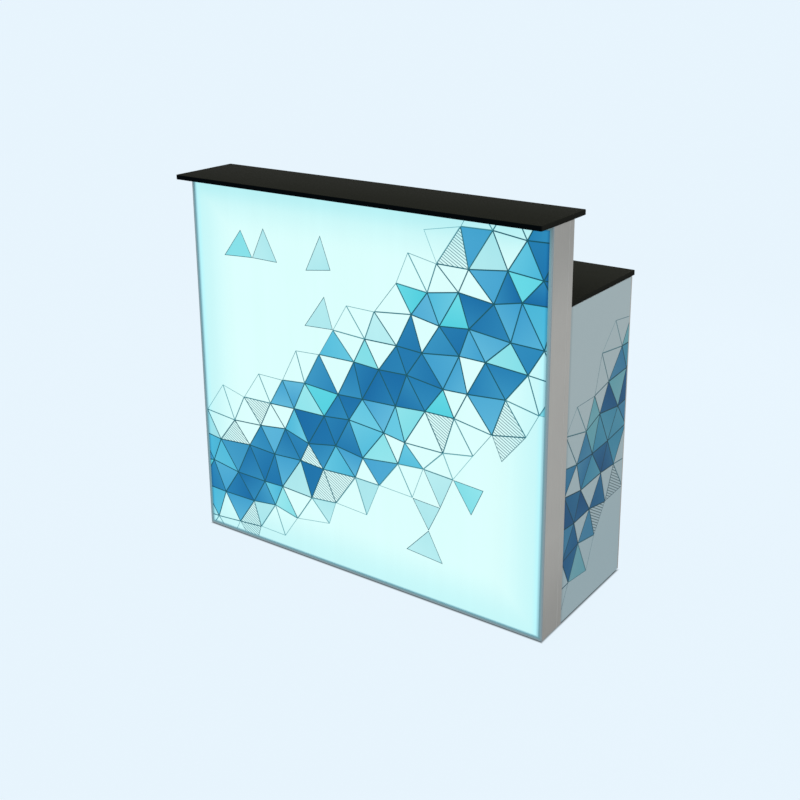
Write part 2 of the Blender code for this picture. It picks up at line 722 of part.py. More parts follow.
def make_side(side, word):
    """A side board with its printed skin, its rear trim, its shelf pegs and their holes."""

    def out(distance):
        return side * distance

    board = box(
        f"side_panel_{word}",
        (min(out(PANEL_INNER), out(PANEL_OUTER)), SEAM + GAP, FLOOR_GAP),
        (max(out(PANEL_INNER), out(PANEL_OUTER)), PANEL_REAR, CABINET_TOP),
        "white_board",
    )
    skin_inner = PRINT_OUTER - PRINT_THICK
    box(
        f"side_graphic_{word}",
        (min(out(skin_inner), out(PRINT_OUTER)), SEAM + GAP, FLOOR_GAP),
        (max(out(skin_inner), out(PRINT_OUTER)), REAR - TRIM_WIDTH - GAP, CABINET_TOP),
        "printed_skin",
    )
    trim = [
        (out(PRINT_OUTER), REAR),
        (out(PRINT_OUTER), REAR - TRIM_WIDTH),
        (out(skin_inner), REAR - TRIM_WIDTH),
        (out(skin_inner), REAR - TRIM_THICK),
        (out(PANEL_INNER), REAR - TRIM_THICK),
        (out(PANEL_INNER), REAR),
    ]
    height = CABINET_TOP - FLOOR_GAP
    middle = (CABINET_TOP + FLOOR_GAP) / 2
    outline(f"side_trim_{word}", trim, height, ACROSS_XY, (0, 0, middle), "frame_silver")
    peg_level = SHELF_LEVEL - GAP - PEG_RADIUS
    rows = (("front", SHELF_FRONT + PEG_INSET), ("rear", SHELF_REAR - PEG_INSET))
    for row, y in rows:
        for step in range(PEG_HOLES_PER_ROW):
            level = peg_level + (step - PEG_HOLES_PER_ROW // 2) * PEG_HOLE_PITCH
            ends = sorted((out(PANEL_INNER - OVERRUN), out(PANEL_INNER + PEG_DEPTH)))
            hole = cylinder(
                f"peg_hole_{word}_{row}_{step + 1}",
                PEG_RADIUS + GAP,
                (ends[0], y, level),
                (ends[1], y, level),
                along="X",
            )
            change(board, hole)
        ends = sorted((out(PANEL_INNER - PEG_REACH), out(PANEL_INNER + PEG_DEPTH - GAP)))
        cylinder(
            f"shelf_peg_{row}_{word}",
            PEG_RADIUS,
            (ends[0], y, peg_level),
            (ends[1], y, peg_level),
            "steel",
            along="X",
        )
    return board


def make_cabinet_boards():
    reach = PANEL_INNER - GAP
    box(
        "base_board",
        (-reach, SEAM + CABLE_SLOT, BASE_LEVEL),
        (reach, DOOR_BACK - BASE_STOP_GAP, BASE_TOP),
        "white_board",
    )
    rail_rear = REAR - PLINTH_SETBACK
    plinth_low, plinth_high = FLOOR_GAP, BASE_LEVEL - GAP
    plinth = [
        (-reach, plinth_low),
        (NOTCH_X - NOTCH_WIDTH / 2, plinth_low),
        (NOTCH_X - NOTCH_WIDTH / 2, plinth_low + NOTCH_HEIGHT),
        (NOTCH_X + NOTCH_WIDTH / 2, plinth_low + NOTCH_HEIGHT),
        (NOTCH_X + NOTCH_WIDTH / 2, plinth_low),
        (reach, plinth_low),
        (reach, plinth_high),
        (-reach, plinth_high),
    ]
    place = (0, rail_rear - BOARD_THICK / 2, 0)
    outline("plinth_rail", plinth, BOARD_THICK, ACROSS_XZ, place, "white_board")
    box(
        "top_rail",
        (-reach, DOOR_BACK, CABINET_TOP - TOP_RAIL_HEIGHT),
        (reach, REAR, CABINET_TOP),
        "white_board",
    )
    shelf_reach = PANEL_INNER - SHELF_SIDE_PLAY
    box(
        "shelf",
        (-shelf_reach, SHELF_FRONT, SHELF_LEVEL),
        (shelf_reach, SHELF_REAR, SHELF_LEVEL + BOARD_THICK),
        "white_board",
    )


def hinge_leaf(name, side, outward, reach, knuckles, level):
    """A hinge leaf: a plate with a tab to each of its knuckles, bored for the pin.

    side is the door's side of the cabinet, outward is 1 for the leaf on the side board and
    -1 for the leaf on the door, and knuckles lists (low, high) heights from the middle.
    """
    edge = HINGE_KNUCKLE_RADIUS + HINGE_LEAF_CLEARANCE
    points = [(edge, -HINGE_HEIGHT / 2)]
    for low, high in knuckles:
        tab_low, tab_high = low + HINGE_TAB_INSET, high - HINGE_TAB_INSET
        points += [(edge, tab_low), (0, tab_low), (0, tab_high), (edge, tab_high)]
    points += [(edge, HINGE_HEIGHT / 2), (reach, HINGE_HEIGHT / 2), (reach, -HINGE_HEIGHT / 2)]
    shape = [(side * outward * across, up) for across, up in points]
    plate_y = HINGE_Y - HINGE_AXIS_RISE + HINGE_LEAF / 2
    leaf = outline(name, shape, HINGE_LEAF, ACROSS_XZ, (side * HINGE_X, plate_y, level), "steel")
    for index, (low, high) in enumerate(knuckles):
        knuckle = cylinder(
            f"{name}_knuckle_{index + 1}",
            HINGE_KNUCKLE_RADIUS,
            (side * HINGE_X, HINGE_Y, level + low),
            (side * HINGE_X, HINGE_Y, level + high),
        )
        change(leaf, knuckle, "UNION")
    bore = cylinder(
        f"{name}_bore",
        HINGE_PIN_RADIUS + GAP,
        (side * HINGE_X, HINGE_Y, level - HINGE_HEIGHT / 2 - OVERRUN),
        (side * HINGE_X, HINGE_Y, level + HINGE_HEIGHT / 2 + OVERRUN),
    )
    change(leaf, bore)
    return leaf


def make_hinge(side, word, height_word, level):
    half = HINGE_HEIGHT / 2
    inner = half - HINGE_END_KNUCKLE
    middle = inner - HINGE_KNUCKLE_GAP
    hinge_leaf(
        f"hinge_frame_leaf_{height_word}_{word}", side, 1, HINGE_FRAME_REACH,
        [(-half, -inner), (inner, half)], level,
    )
    door_leaf = hinge_leaf(
        f"hinge_door_leaf_{height_word}_{word}", side, -1, HINGE_DOOR_REACH,
        [(-middle, middle)], level,
    )
    end = half + GAP
    profile = [
        (0, end + HINGE_PIN_HEAD),
        (HINGE_PIN_HEAD_RADIUS, end + HINGE_PIN_HEAD),
        (HINGE_PIN_HEAD_RADIUS, end),
        (HINGE_PIN_RADIUS, end),
        (HINGE_PIN_RADIUS, -end),
        (HINGE_PIN_HEAD_RADIUS, -end),
        (HINGE_PIN_HEAD_RADIUS, -end - HINGE_PIN_HEAD),
        (0, -end - HINGE_PIN_HEAD),
    ]
    turned(
        f"hinge_pin_{height_word}_{word}", profile, "steel", (side * HINGE_X, HINGE_Y, level)
    )
    return door_leaf


def make_lock(side, word, door):
    """A cam lock in the door's upper corner. Its tongue lies level when it is open."""
    x = side * (DOOR_INNER_EDGE + LOCK_FROM_EDGE)
    toward_rear = Matrix.Rotation(-math.pi / 2, 3, "X")
    flange_low = GAP
    flange_high = GAP + LOCK_FLANGE
    barrel_low = -BOARD_THICK - LOCK_BARREL_PAST_DOOR
    bore = LOCK_PLUG_RADIUS + GAP
    profile = [
        (bore, flange_high),
        (LOCK_FLANGE_RADIUS, flange_high),
        (LOCK_FLANGE_RADIUS, flange_low),
        (LOCK_BARREL_RADIUS, flange_low),
        (LOCK_BARREL_RADIUS, barrel_low),
        (bore, barrel_low),
    ]
    housing = turned(
        f"lock_housing_{word}", profile, "steel", (x, REAR, LOCK_LEVEL),
        turn=toward_rear, closed=True,
    )
    hole = cylinder(
        f"lock_hole_{word}",
        LOCK_BARREL_RADIUS + GAP,
        (x, DOOR_BACK - OVERRUN, LOCK_LEVEL),
        (x, REAR + OVERRUN, LOCK_LEVEL),
        along="Y",
    )
    change(door, hole)
    tongue_rear = REAR + barrel_low - GAP
    tongue_front = tongue_rear - TONGUE_THICK
    centre = (x, REAR, LOCK_LEVEL)
    plug = cylinder(
        f"lock_plug_{word}",
        LOCK_PLUG_RADIUS,
        (x, tongue_front, LOCK_LEVEL),
        (x, REAR + flange_high, LOCK_LEVEL),
        "steel",
        along="Y",
        origin=centre,
    )
    reach = sorted((x, x + side * TONGUE_LENGTH))
    tongue = box(
        f"lock_tongue_{word}",
        (reach[0], tongue_front, LOCK_LEVEL - TONGUE_WIDTH / 2),
        (reach[1], tongue_rear, LOCK_LEVEL + TONGUE_WIDTH / 2),
    )
    change(plug, tongue, "UNION")
    keyway = box(
        f"lock_keyway_{word}",
        (x - KEYWAY_WIDTH / 2, REAR + flange_high - KEYWAY_DEPTH, LOCK_LEVEL - KEYWAY_LENGTH / 2),
        (x + KEYWAY_WIDTH / 2, REAR + flange_high + OVERRUN, LOCK_LEVEL + KEYWAY_LENGTH / 2),
    )
    change(plug, keyway)
    return housing, plug


def make_handle(side, word):
    half = HANDLE_LENGTH / 2
    shape = [
        (GAP, -half),
        (HANDLE_RISE, -half),
        (HANDLE_RISE, half),
        (GAP, half),
        (GAP, half - HANDLE_THICK),
        (HANDLE_RISE - HANDLE_THICK, half - HANDLE_THICK),
        (HANDLE_RISE - HANDLE_THICK, HANDLE_THICK - half),
        (GAP, HANDLE_THICK - half),
    ]
    place = (side * (DOOR_INNER_EDGE + HANDLE_FROM_EDGE), REAR, HANDLE_LEVEL)
    return outline(f"door_handle_{word}", shape, HANDLE_WIDTH, ACROSS_YZ, place, "steel")


def make_door(side, word):
    """A door that swings on its hinge axis, with all that it carries."""
    edges = sorted((side * DOOR_INNER_EDGE, side * DOOR_OUTER_EDGE))
    door = box(
        f"door_{word}",
        (edges[0], DOOR_BACK, DOOR_LOW),
        (edges[1], REAR, DOOR_HIGH),
        "white_board",
        origin=Vector((side * HINGE_X, HINGE_Y, (DOOR_LOW + DOOR_HIGH) / 2)),
    )
    leaves = [
        make_hinge(side, word, height_word, level)
        for height_word, level in zip(("low", "high"), HINGE_LEVELS)
    ]
    carry(door, *leaves, *make_lock(side, word, door), make_handle(side, word))


clear_scene()
counter = new_collection("exhibition_counter")
cutters = new_collection("cutters")
finishes = {name: new_finish(name) for name in FINISHES}

frame_top, frame_bottom = make_frame()
low_brackets = {}
for side, word in ((-1, "left"), (1, "right")):
    low_brackets[side] = make_bracket(f"corner_bracket_low_{word}", side, 1)
    make_bracket(f"corner_bracket_high_{word}", side, -1)
make_front_graphic()
make_back_panel()
make_light_bar("led_bar_bottom", 1)
make_light_bar("led_bar_top", -1)
make_driver()
make_inlet()
make_leads()
make_tops(frame_top)
make_cabinet_boards()
for side, word in ((-1, "left"), (1, "right")):
    foot_y = FRONT + BRACKET_FROM_FRONT
    foot_x = side * FOOT_FRONT_X
    make_foot(f"foot_front_{word}", foot_x, foot_y, frame_bottom, low_brackets[side])
    board = make_side(side, word)
    make_foot(f"foot_rear_{word}", side * FOOT_REAR_X, REAR - FOOT_REAR_FROM_BACK, board)
    make_door(side, word)
bpy.context.view_layer.update()
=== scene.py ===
import json
import math
import random

import bmesh
import bpy
from mathutils import Matrix, Vector
from mathutils.bvhtree import BVHTree


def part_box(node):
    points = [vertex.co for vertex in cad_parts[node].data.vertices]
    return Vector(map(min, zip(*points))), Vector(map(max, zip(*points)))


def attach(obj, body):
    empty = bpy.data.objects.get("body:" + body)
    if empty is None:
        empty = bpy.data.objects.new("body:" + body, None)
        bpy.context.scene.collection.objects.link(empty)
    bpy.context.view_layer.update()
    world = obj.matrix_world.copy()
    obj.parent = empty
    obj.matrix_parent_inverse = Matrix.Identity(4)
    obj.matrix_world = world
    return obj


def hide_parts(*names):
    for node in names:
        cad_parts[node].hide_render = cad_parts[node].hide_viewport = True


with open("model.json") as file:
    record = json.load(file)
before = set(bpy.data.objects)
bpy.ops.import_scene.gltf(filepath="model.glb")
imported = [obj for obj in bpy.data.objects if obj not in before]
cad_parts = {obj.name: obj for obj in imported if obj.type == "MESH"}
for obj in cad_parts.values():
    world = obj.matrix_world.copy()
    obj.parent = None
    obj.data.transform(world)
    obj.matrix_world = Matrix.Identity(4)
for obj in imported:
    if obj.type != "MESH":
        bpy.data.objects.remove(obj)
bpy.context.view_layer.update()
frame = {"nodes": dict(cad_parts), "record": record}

# Lightbox frame. Four lengths of satin anodised aluminium extrusion, 94 mm deep and mitred
# at the corners, with a shallow decorative groove run along the outer face near the rear.
# Steel angle brackets screwed inside the corners hold the lengths together.
FRAME_EASE = 0.0005
FRAME_GROOVE_WIDTH = 0.0022
FRAME_GROOVE_DEPTH = 0.0004
FRAME_GROOVE_FROM_REAR = 0.019
GROOVE_EDGE = 0.0001
SAME_PLACE = 1e-6
FLAT_ANGLE = math.radians(0.5)
SHARP_ANGLE = math.radians(30)
SILVER = (0.517, 0.509, 0.476)
SILVER_LIGHT = (0.867, 0.845, 0.785)
# Painted light: how much of the height is painted lighter in the middle, with painted shade towards the
# ends.
SILVER_PLATEAU = 0.45
# Painted highlight laid into the groove, and how strongly it is laid on.
GROOVE_PAINTED_HIGHLIGHT = (0.92, 0.92, 0.90)
GROOVE_HIGHLIGHT_STRENGTH = 0.6
DIE_LINES_ACROSS, DIE_LINES_ALONG = 14.0, 0.25
DIE_LINE_WEIGHT, CLOUD_WEIGHT, PAINTED_MID_LIGHT_WEIGHT = 0.35, 0.2, 0.5
# Painted glow from the lit cloth on the frame's front rim.
RIM_GLOW_OUTER = (0.46, 0.59, 0.64)
RIM_GLOW_INNER = (0.31, 0.66, 0.74)
RIM_WIDTH = 0.009
RIM_GLOW_DEPTH = 0.004

nodes = frame["nodes"]
body_names = {
    node: body
    for body, members in frame["record"]["behaviour"]["bodies"].items()
    for node in members
}


class Signal:
    """An output of a shader node. Arithmetic on it adds Math nodes."""

    def __init__(self, finish, socket):
        self.finish = finish
        self.socket = socket

    def maths(self, operation, *others, first=None):
        values = (self, *others) if first is None else (first, self)
        return self.finish.node("ShaderNodeMath", {"operation": operation}, values)

    def __add__(self, other):
        return self.maths("ADD", other)

    def __radd__(self, other):
        return self.maths("ADD", other)

    def __sub__(self, other):
        return self.maths("SUBTRACT", other)

    def __rsub__(self, other):
        return self.maths("SUBTRACT", first=other)

    def __mul__(self, other):
        return self.maths("MULTIPLY", other)

    def __rmul__(self, other):
        return self.maths("MULTIPLY", other)


class Finish:
    """One material, with the nodes that it is mixed from. Every node comes from node()."""

    def __init__(self, name):
        self.material = bpy.data.materials.new(name)
        self.material.use_nodes = True
        self.tree = self.material.node_tree
        self.shader = self.tree.nodes["Principled BSDF"]

    def feed(self, socket, value):
        if isinstance(value, Signal):
            self.tree.links.new(value.socket, socket)
        elif socket.type == "RGBA" and len(value) == 3:
            socket.default_value = (*value, 1)
        else:
            socket.default_value = value

    def node(self, kind, settings=None, values=(), output=0):
        made = self.tree.nodes.new(kind)
        for key, setting in (settings or {}).items():
            setattr(made, key, setting)
        pairs = values.items() if isinstance(values, dict) else enumerate(values)
        for key, value in pairs:
            self.feed(made.inputs[key], value)
        return Signal(self, made.outputs[output])

    def shade(self, **values):
        """Sets sockets of the material's shader, with _ for a space in their names."""
        for key, value in values.items():
            self.feed(self.shader.inputs[key.replace("_", " ")], value)

    def place(self):
        return self.node("ShaderNodeTexCoord", output="Object")

    def parts(self, vector):
        return [
            self.node("ShaderNodeSeparateXYZ", values=[vector], output=axis) for axis in range(3)
        ]

    def noise(self, scale, stretch=(1, 1, 1), detail=2.0, roughness=0.5):
        stretched = self.node("ShaderNodeMapping", values={"Vector": self.place(), "Scale": stretch})
        values = {"Vector": stretched, "Scale": scale, "Detail": detail, "Roughness": roughness}
        return self.node("ShaderNodeTexNoise", values=values)

    def step(self, value, start, end):
        """0 before start, 1 after end, and smooth between them."""
        settings = {"interpolation_type": "SMOOTHSTEP"}
        return self.node("ShaderNodeMapRange", settings, {"Value": value, 1: start, 2: end})

    def blend(self, factor, first, second, how="MIX"):
        settings = {"data_type": "RGBA", "blend_type": how}
        return self.node("ShaderNodeMix", settings, {0: factor, 6: first, 7: second}, output=2)

    def bump(self, height, distance):
        values = {"Height": height, "Distance": distance, "Strength": 1.0}
        return self.node("ShaderNodeBump", values=values)

    def surface(self, colour, grain, roughness, spread, relief, **others):
        """Sets a colour, and a roughness and a fine relief that both follow one grain."""
        self.shade(
            Base_Color=colour,
            Roughness=roughness + grain * spread,
            Normal=self.bump(grain, relief),
            **others,
        )


frame_low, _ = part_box("frame_left")
_, frame_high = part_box("frame_right")


def silver_finish(name, along):
    """Satin anodised aluminium, its fine die lines along an axis, painted lighter at mid-height with
    painted shade towards its ends, a painted highlight in its groove and a painted glow from the lit
    cloth on its front rim.
    """
    silver = Finish(name)
    stretch = [DIE_LINES_ACROSS] * 3
    stretch["XYZ".index(along)] = DIE_LINES_ALONG
    die_lines = silver.noise(scale=90, stretch=stretch, detail=3.0)
    cloudiness = silver.noise(scale=9, detail=2.0)
    x, y, z = silver.parts(silver.place())
    half_height = (frame_high.z - frame_low.z) / 2
    off_middle = (z - (frame_low.z + half_height)).maths("ABSOLUTE")
    # Painted light and shade: lighter at mid-height, darker towards the top and bottom ends.
    painted_mid_light = 1 - silver.step(off_middle, SILVER_PLATEAU * half_height, half_height)
    grain_and_painted_light = die_lines * DIE_LINE_WEIGHT + cloudiness * CLOUD_WEIGHT + painted_mid_light * PAINTED_MID_LIGHT_WEIGHT
    tone = silver.blend(grain_and_painted_light, SILVER, SILVER_LIGHT)
    # Painted highlight: the groove is painted near white, standing in for light caught along it.
    cut_far = frame_high.y - FRAME_GROOVE_FROM_REAR
    cut_near = cut_far - FRAME_GROOVE_WIDTH
    past_near = silver.step(y, cut_near - GROOVE_EDGE, cut_near)
    in_cut = past_near * (1 - silver.step(y, cut_far, cut_far + GROOVE_EDGE))
    # Painted light: the front rim is tinted teal, most towards the cloth, as glow thrown by the lit
    # cloth.
    from_side = frame_high.x - x.maths("ABSOLUTE")
    from_end = half_height - off_middle
    toward_cloth = silver.step(from_side.maths("MINIMUM", from_end), 0.0, RIM_WIDTH)
    rim = silver.blend(toward_cloth, RIM_GLOW_OUTER, RIM_GLOW_INNER)
    rim_end = frame_low.y + RIM_GLOW_DEPTH
    on_rim = 1 - silver.step(y, rim_end - RIM_GLOW_DEPTH / 2, rim_end)
    silver.surface(
        silver.blend(on_rim, silver.blend(in_cut * GROOVE_HIGHLIGHT_STRENGTH, tone, GROOVE_PAINTED_HIGHLIGHT), rim),
        grain=die_lines, roughness=0.36, spread=0.12, relief=0.00008, Metallic=0.55,
    )
    return silver.material


def merged_copy(node):
    """A bmesh copy of a CAD solid, its triangles merged back into whole faces."""
    bm = bmesh.new()
    bm.from_mesh(nodes[node].data)
    bmesh.ops.remove_doubles(bm, verts=bm.verts, dist=SAME_PLACE)
    bmesh.ops.dissolve_limit(bm, angle_limit=FLAT_ANGLE, verts=bm.verts, edges=bm.edges)
    return bm


def ease_edges(bm, width, shortest, segments=2):
    """Rounds the sharp edges that are at least as long as shortest."""
    sharp = [
        edge for edge in bm.edges
        if len(edge.link_faces) == 2
        and edge.calc_length() >= shortest
        and edge.calc_face_angle(0) > SHARP_ANGLE
    ]
    bmesh.ops.bevel(
        bm, geom=sharp, offset=width, segments=segments, affect="EDGES", profile=0.5,
        material=-1, clamp_overlap=True,
    )


def finished_piece(name, bm, material, smooth_angle=None):
    """Makes a piece of a bmesh that already stands in its place."""
    mesh = bpy.data.meshes.new(name)
    bm.to_mesh(mesh)
    bm.free()
    if "custom_normal" in mesh.attributes:
        mesh.attributes.remove(mesh.attributes["custom_normal"])
    mesh.materials.clear()
    mesh.materials.append(material)
    if smooth_angle:
        mesh.shade_smooth()
        mesh.set_sharp_from_angle(angle=math.radians(smooth_angle))
    else:
        mesh.shade_flat()
    piece = bpy.data.objects.new(name, mesh)
    bpy.context.scene.collection.objects.link(piece)
    return piece


def dress(node, name, bm, material, smooth_angle=None):
    """Puts a modelled piece in the place of a CAD node, on the node's own body."""
    piece = finished_piece(name, bm, material, smooth_angle)
    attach(piece, body_names[node])
    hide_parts(node)
    return piece


def paint(material, *names):
    """Gives CAD nodes that keep their own shape a material."""
    for name in names:
        nodes[name].data.materials.clear()
        nodes[name].data.materials.append(material)


def cut_groove(bm, outward):
    """Presses the decorative groove into the outer face of a frame member."""
    axis = max(range(3), key=lambda i: abs(outward[i]))
    rear = max(vertex.co.y for vertex in bm.verts)
    near = rear - FRAME_GROOVE_FROM_REAR - FRAME_GROOVE_WIDTH
    far = rear - FRAME_GROOVE_FROM_REAR
    for y in (near, far):
        everything = bm.verts[:] + bm.edges[:] + bm.faces[:]
        bmesh.ops.bisect_plane(bm, geom=everything, plane_co=(0, y, 0), plane_no=(0, 1, 0))
    outermost = max(vertex.co[axis] * outward[axis] for vertex in bm.verts)
    strip = [
        face for face in bm.faces
        if near < face.calc_center_median().y < far
        and all(abs(v.co[axis] * outward[axis] - outermost) < SAME_PLACE for v in face.verts)
    ]
    pressed = bmesh.ops.extrude_face_region(bm, geom=strip)["geom"]
    floor = [item for item in pressed if isinstance(item, bmesh.types.BMVert)]
    bmesh.ops.translate(bm, vec=Vector(outward) * -FRAME_GROOVE_DEPTH, verts=floor)
    bmesh.ops.delete(bm, geom=[face for face in strip if face.is_valid], context="FACES")
    bmesh.ops.recalc_face_normals(bm, faces=bm.faces)


silver_upright = silver_finish("silver_upright", "Z")
silver_level = silver_finish("silver_level", "X")
for node, name, outward, material in (
    ("frame_left", "frame_left_extrusion", (-1, 0, 0), silver_upright),
    ("frame_right", "frame_right_extrusion", (1, 0, 0), silver_upright),
    ("frame_top", "frame_top_extrusion", (0, 0, 1), silver_level),
    ("frame_bottom", "frame_bottom_extrusion", (0, 0, -1), silver_level),
):
    member = merged_copy(node)
    ease_edges(member, FRAME_EASE, shortest=0.5)
    cut_groove(member, outward)
    dress(node, name, member, material)

# Corner brackets. Zinc plated steel angles in the corners of the lightbox, with a fine
# rolled grain and the slightly cloudy look of the plating.
STEEL_DARK = (0.43, 0.44, 0.45)
STEEL_LIGHT = (0.62, 0.63, 0.64)
STEEL_ROUGHNESS, STEEL_SPREAD = 0.26, 0.14
STEEL_RELIEF = 0.00005
GRAIN_SHARE = 0.5
GRAIN_ACROSS, GRAIN_ALONG = 9.0, 0.5


def steel_finish(name, along):
    """Satin plated steel, its grain running along an axis."""
    steel = Finish(name)
    stretch = [GRAIN_ACROSS] * 3
    stretch["XYZ".index(along)] = GRAIN_ALONG
    grain = steel.noise(scale=320, stretch=stretch, detail=3.0)
    clouds = steel.noise(scale=45, detail=3.0, roughness=0.6)
    rolled = grain * GRAIN_SHARE + clouds * (1 - GRAIN_SHARE)
    steel.shade(
        Base_Color=steel.blend(rolled, STEEL_DARK, STEEL_LIGHT),
        Metallic=0.85,
        Roughness=STEEL_ROUGHNESS + clouds * STEEL_SPREAD,
        Normal=steel.bump(grain, STEEL_RELIEF),
    )
    return steel.material


steel_upright = steel_finish("steel_upright", "Z")
steel_level = steel_finish("steel_level", "X")
paint(
    steel_level,
    *[f"corner_bracket_{level}_{side}" for level in ("low", "high") for side in ("left", "right")],
)

# Light bars and driver. White aluminium bars carry rows of moulded lenses that throw the
# light across the cloth, and a black driver on the back panel feeds them through two leads.
BAR_WHITE = (0.88, 0.90, 0.90)
LENS_CLEAR = (0.70, 0.80, 0.82)
BLACK_GRAIN_DARK = (0.020, 0.020, 0.022)
BLACK_GRAIN_LIGHT = (0.045, 0.045, 0.048)
LEAD_DARK = (0.014, 0.014, 0.014)
LEAD_LIGHT = (0.032, 0.032, 0.032)
LENS_START = 0.0041
LENS_FOOT = 0.0002
DRIVER_EASE = 0.0015

light_bar = Finish("light_bar_white")
lens_speckle = light_bar.noise(scale=600, detail=1.0)
bar_height = light_bar.parts(light_bar.place())[2]
bar_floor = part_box("led_bar_bottom")[0].z + LENS_START
bar_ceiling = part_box("led_bar_top")[1].z - LENS_START
above_floor = light_bar.step(bar_height, bar_floor, bar_floor + LENS_FOOT)
below_ceiling = 1 - light_bar.step(bar_height, bar_ceiling - LENS_FOOT, bar_ceiling)
light_bar.surface(
    light_bar.blend(above_floor * below_ceiling, BAR_WHITE, LENS_CLEAR),
    grain=lens_speckle, roughness=0.38, spread=0.1, relief=0.00004,
)
paint(light_bar.material, "led_bar_bottom", "led_bar_top")

black_plastic = Finish("black_plastic")
moulded_grain = black_plastic.noise(scale=1400, detail=2.0)
black_plastic.surface(
    black_plastic.blend(moulded_grain, BLACK_GRAIN_DARK, BLACK_GRAIN_LIGHT),
    grain=moulded_grain, roughness=0.48, spread=0.16, relief=0.00008,
)
driver = merged_copy("led_driver")
ease_edges(driver, DRIVER_EASE, shortest=0.01, segments=3)
dress("led_driver", "driver_case", driver, black_plastic.material)

lead_rubber = Finish("lead_rubber")
lead_bloom = lead_rubber.noise(scale=260, detail=3.0)
lead_rubber.surface(
    lead_rubber.blend(lead_bloom, LEAD_DARK, LEAD_LIGHT),
    grain=lead_bloom, roughness=0.52, spread=0.16, relief=0.00004,
)
paint(lead_rubber.material, "power_lead", "led_lead_bottom", "led_lead_top")

# Back panel. A 3 mm white foamed plastic sheet slid into the rear slot of the frame. It
# closes the lightbox, and is seen from behind above the desk top and inside the cabinet.
PANEL_WHITE = (0.80, 0.82, 0.82)
PANEL_SHADE = (0.73, 0.75, 0.76)
MOTTLE_SHARE = 0.7

foam_sheet = Finish("foam_sheet_white")
foam_mottle = foam_sheet.noise(scale=14, detail=4.0, roughness=0.6)
foam_skin = foam_sheet.noise(scale=700, detail=2.0)
foam_patches = foam_mottle * MOTTLE_SHARE + foam_skin * (1 - MOTTLE_SHARE)
foam_sheet.surface(
    foam_sheet.blend(foam_patches, PANEL_WHITE, PANEL_SHADE),
    grain=foam_skin, roughness=0.56, spread=0.12, relief=0.00006,
)
paint(foam_sheet.material, "back_panel")

# Power inlet and switch. A black moulded housing snapped into the back panel inside the
# cabinet, with three plated pins in its socket and a rocker marked with a line and a ring.
INLET_EASE = 0.0006
ROCKER_EASE = 0.0004
MARK_WHITE = (0.72, 0.74, 0.74)
MARK_WORN = 0.4
MARK_ROUGHNESS, MARK_SPREAD = 0.5, 0.1
MARK_RISE = 0.0002
MARK_EASE = 0.0001
MARK_FROM_MIDDLE = 0.0048
LINE_WIDTH, LINE_LENGTH = 0.0008, 0.0040
RING_INNER, RING_OUTER = 0.0014, 0.0021
RING_STEPS = 24

inlet = merged_copy("power_inlet")
ease_edges(inlet, INLET_EASE, shortest=0.008)
dress("power_inlet", "inlet_housing", inlet, black_plastic.material)

rocker = merged_copy("switch_rocker")
ease_edges(rocker, ROCKER_EASE, shortest=0.004)
dress("switch_rocker", "rocker_cap", rocker, black_plastic.material, smooth_angle=20)

mark_paint = Finish("rocker_mark_white")
mark_wear = mark_paint.noise(scale=900, detail=2.0)
mark_paint.shade(
    Base_Color=mark_paint.blend(mark_wear * MARK_WORN, MARK_WHITE, BLACK_GRAIN_LIGHT),
    Roughness=MARK_ROUGHNESS + mark_wear * MARK_SPREAD,
)


def face_through(node, x, z):
    """The point and normal of a CAD node's rear face, straight in from behind at x and z."""
    solid = bmesh.new()
    solid.from_mesh(nodes[node].data)
    point, normal, *_ = BVHTree.FromBMesh(solid).ray_cast(Vector((x, 1, z)), Vector((0, -1, 0)))
    solid.free()
    return point, normal


def place_on(bm, point, normal):
    """Turns a shape that was made on the XY plane, facing up, to lie on a face."""
    turn = normal.to_track_quat("Z", "Y").to_matrix().to_4x4()
    bmesh.ops.transform(bm, matrix=Matrix.Translation(point) @ turn, verts=bm.verts)


rocker_low, rocker_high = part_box("switch_rocker")
rocker_x = (rocker_low.x + rocker_high.x) / 2
rocker_z = (rocker_low.z + rocker_high.z) / 2
line_mark = bmesh.new()
bmesh.ops.create_cube(line_mark, size=1)
bmesh.ops.scale(line_mark, vec=(LINE_WIDTH, LINE_LENGTH, 2 * MARK_RISE), verts=line_mark.verts)
bmesh.ops.bevel(
    line_mark, geom=line_mark.edges[:], offset=MARK_EASE, segments=1, affect="EDGES", profile=0.5,
    material=-1,
)
place_on(line_mark, *face_through("switch_rocker", rocker_x, rocker_z + MARK_FROM_MIDDLE))
ring_mark = bmesh.new()
ring_section = [
    ring_mark.verts.new((radius, 0, height)) for radius, height in (
        (RING_INNER, -MARK_RISE),
        (RING_INNER, MARK_RISE),
        (RING_OUTER, MARK_RISE),
        (RING_OUTER, -MARK_RISE),
    )
]
ring_edges = [
    ring_mark.edges.new((ring_section[i], ring_section[(i + 1) % 4])) for i in range(4)
]
bmesh.ops.spin(
    ring_mark, geom=ring_section + ring_edges, cent=(0, 0, 0), axis=(0, 0, 1),
    angle=math.tau, steps=RING_STEPS, use_merge=True,
)
bmesh.ops.recalc_face_normals(ring_mark, faces=ring_mark.faces)
place_on(ring_mark, *face_through("switch_rocker", rocker_x, rocker_z - MARK_FROM_MIDDLE))
for name, mark in (("rocker_line_mark", line_mark), ("rocker_ring_mark", ring_mark)):
    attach(finished_piece(name, mark, mark_paint.material), "rocker")

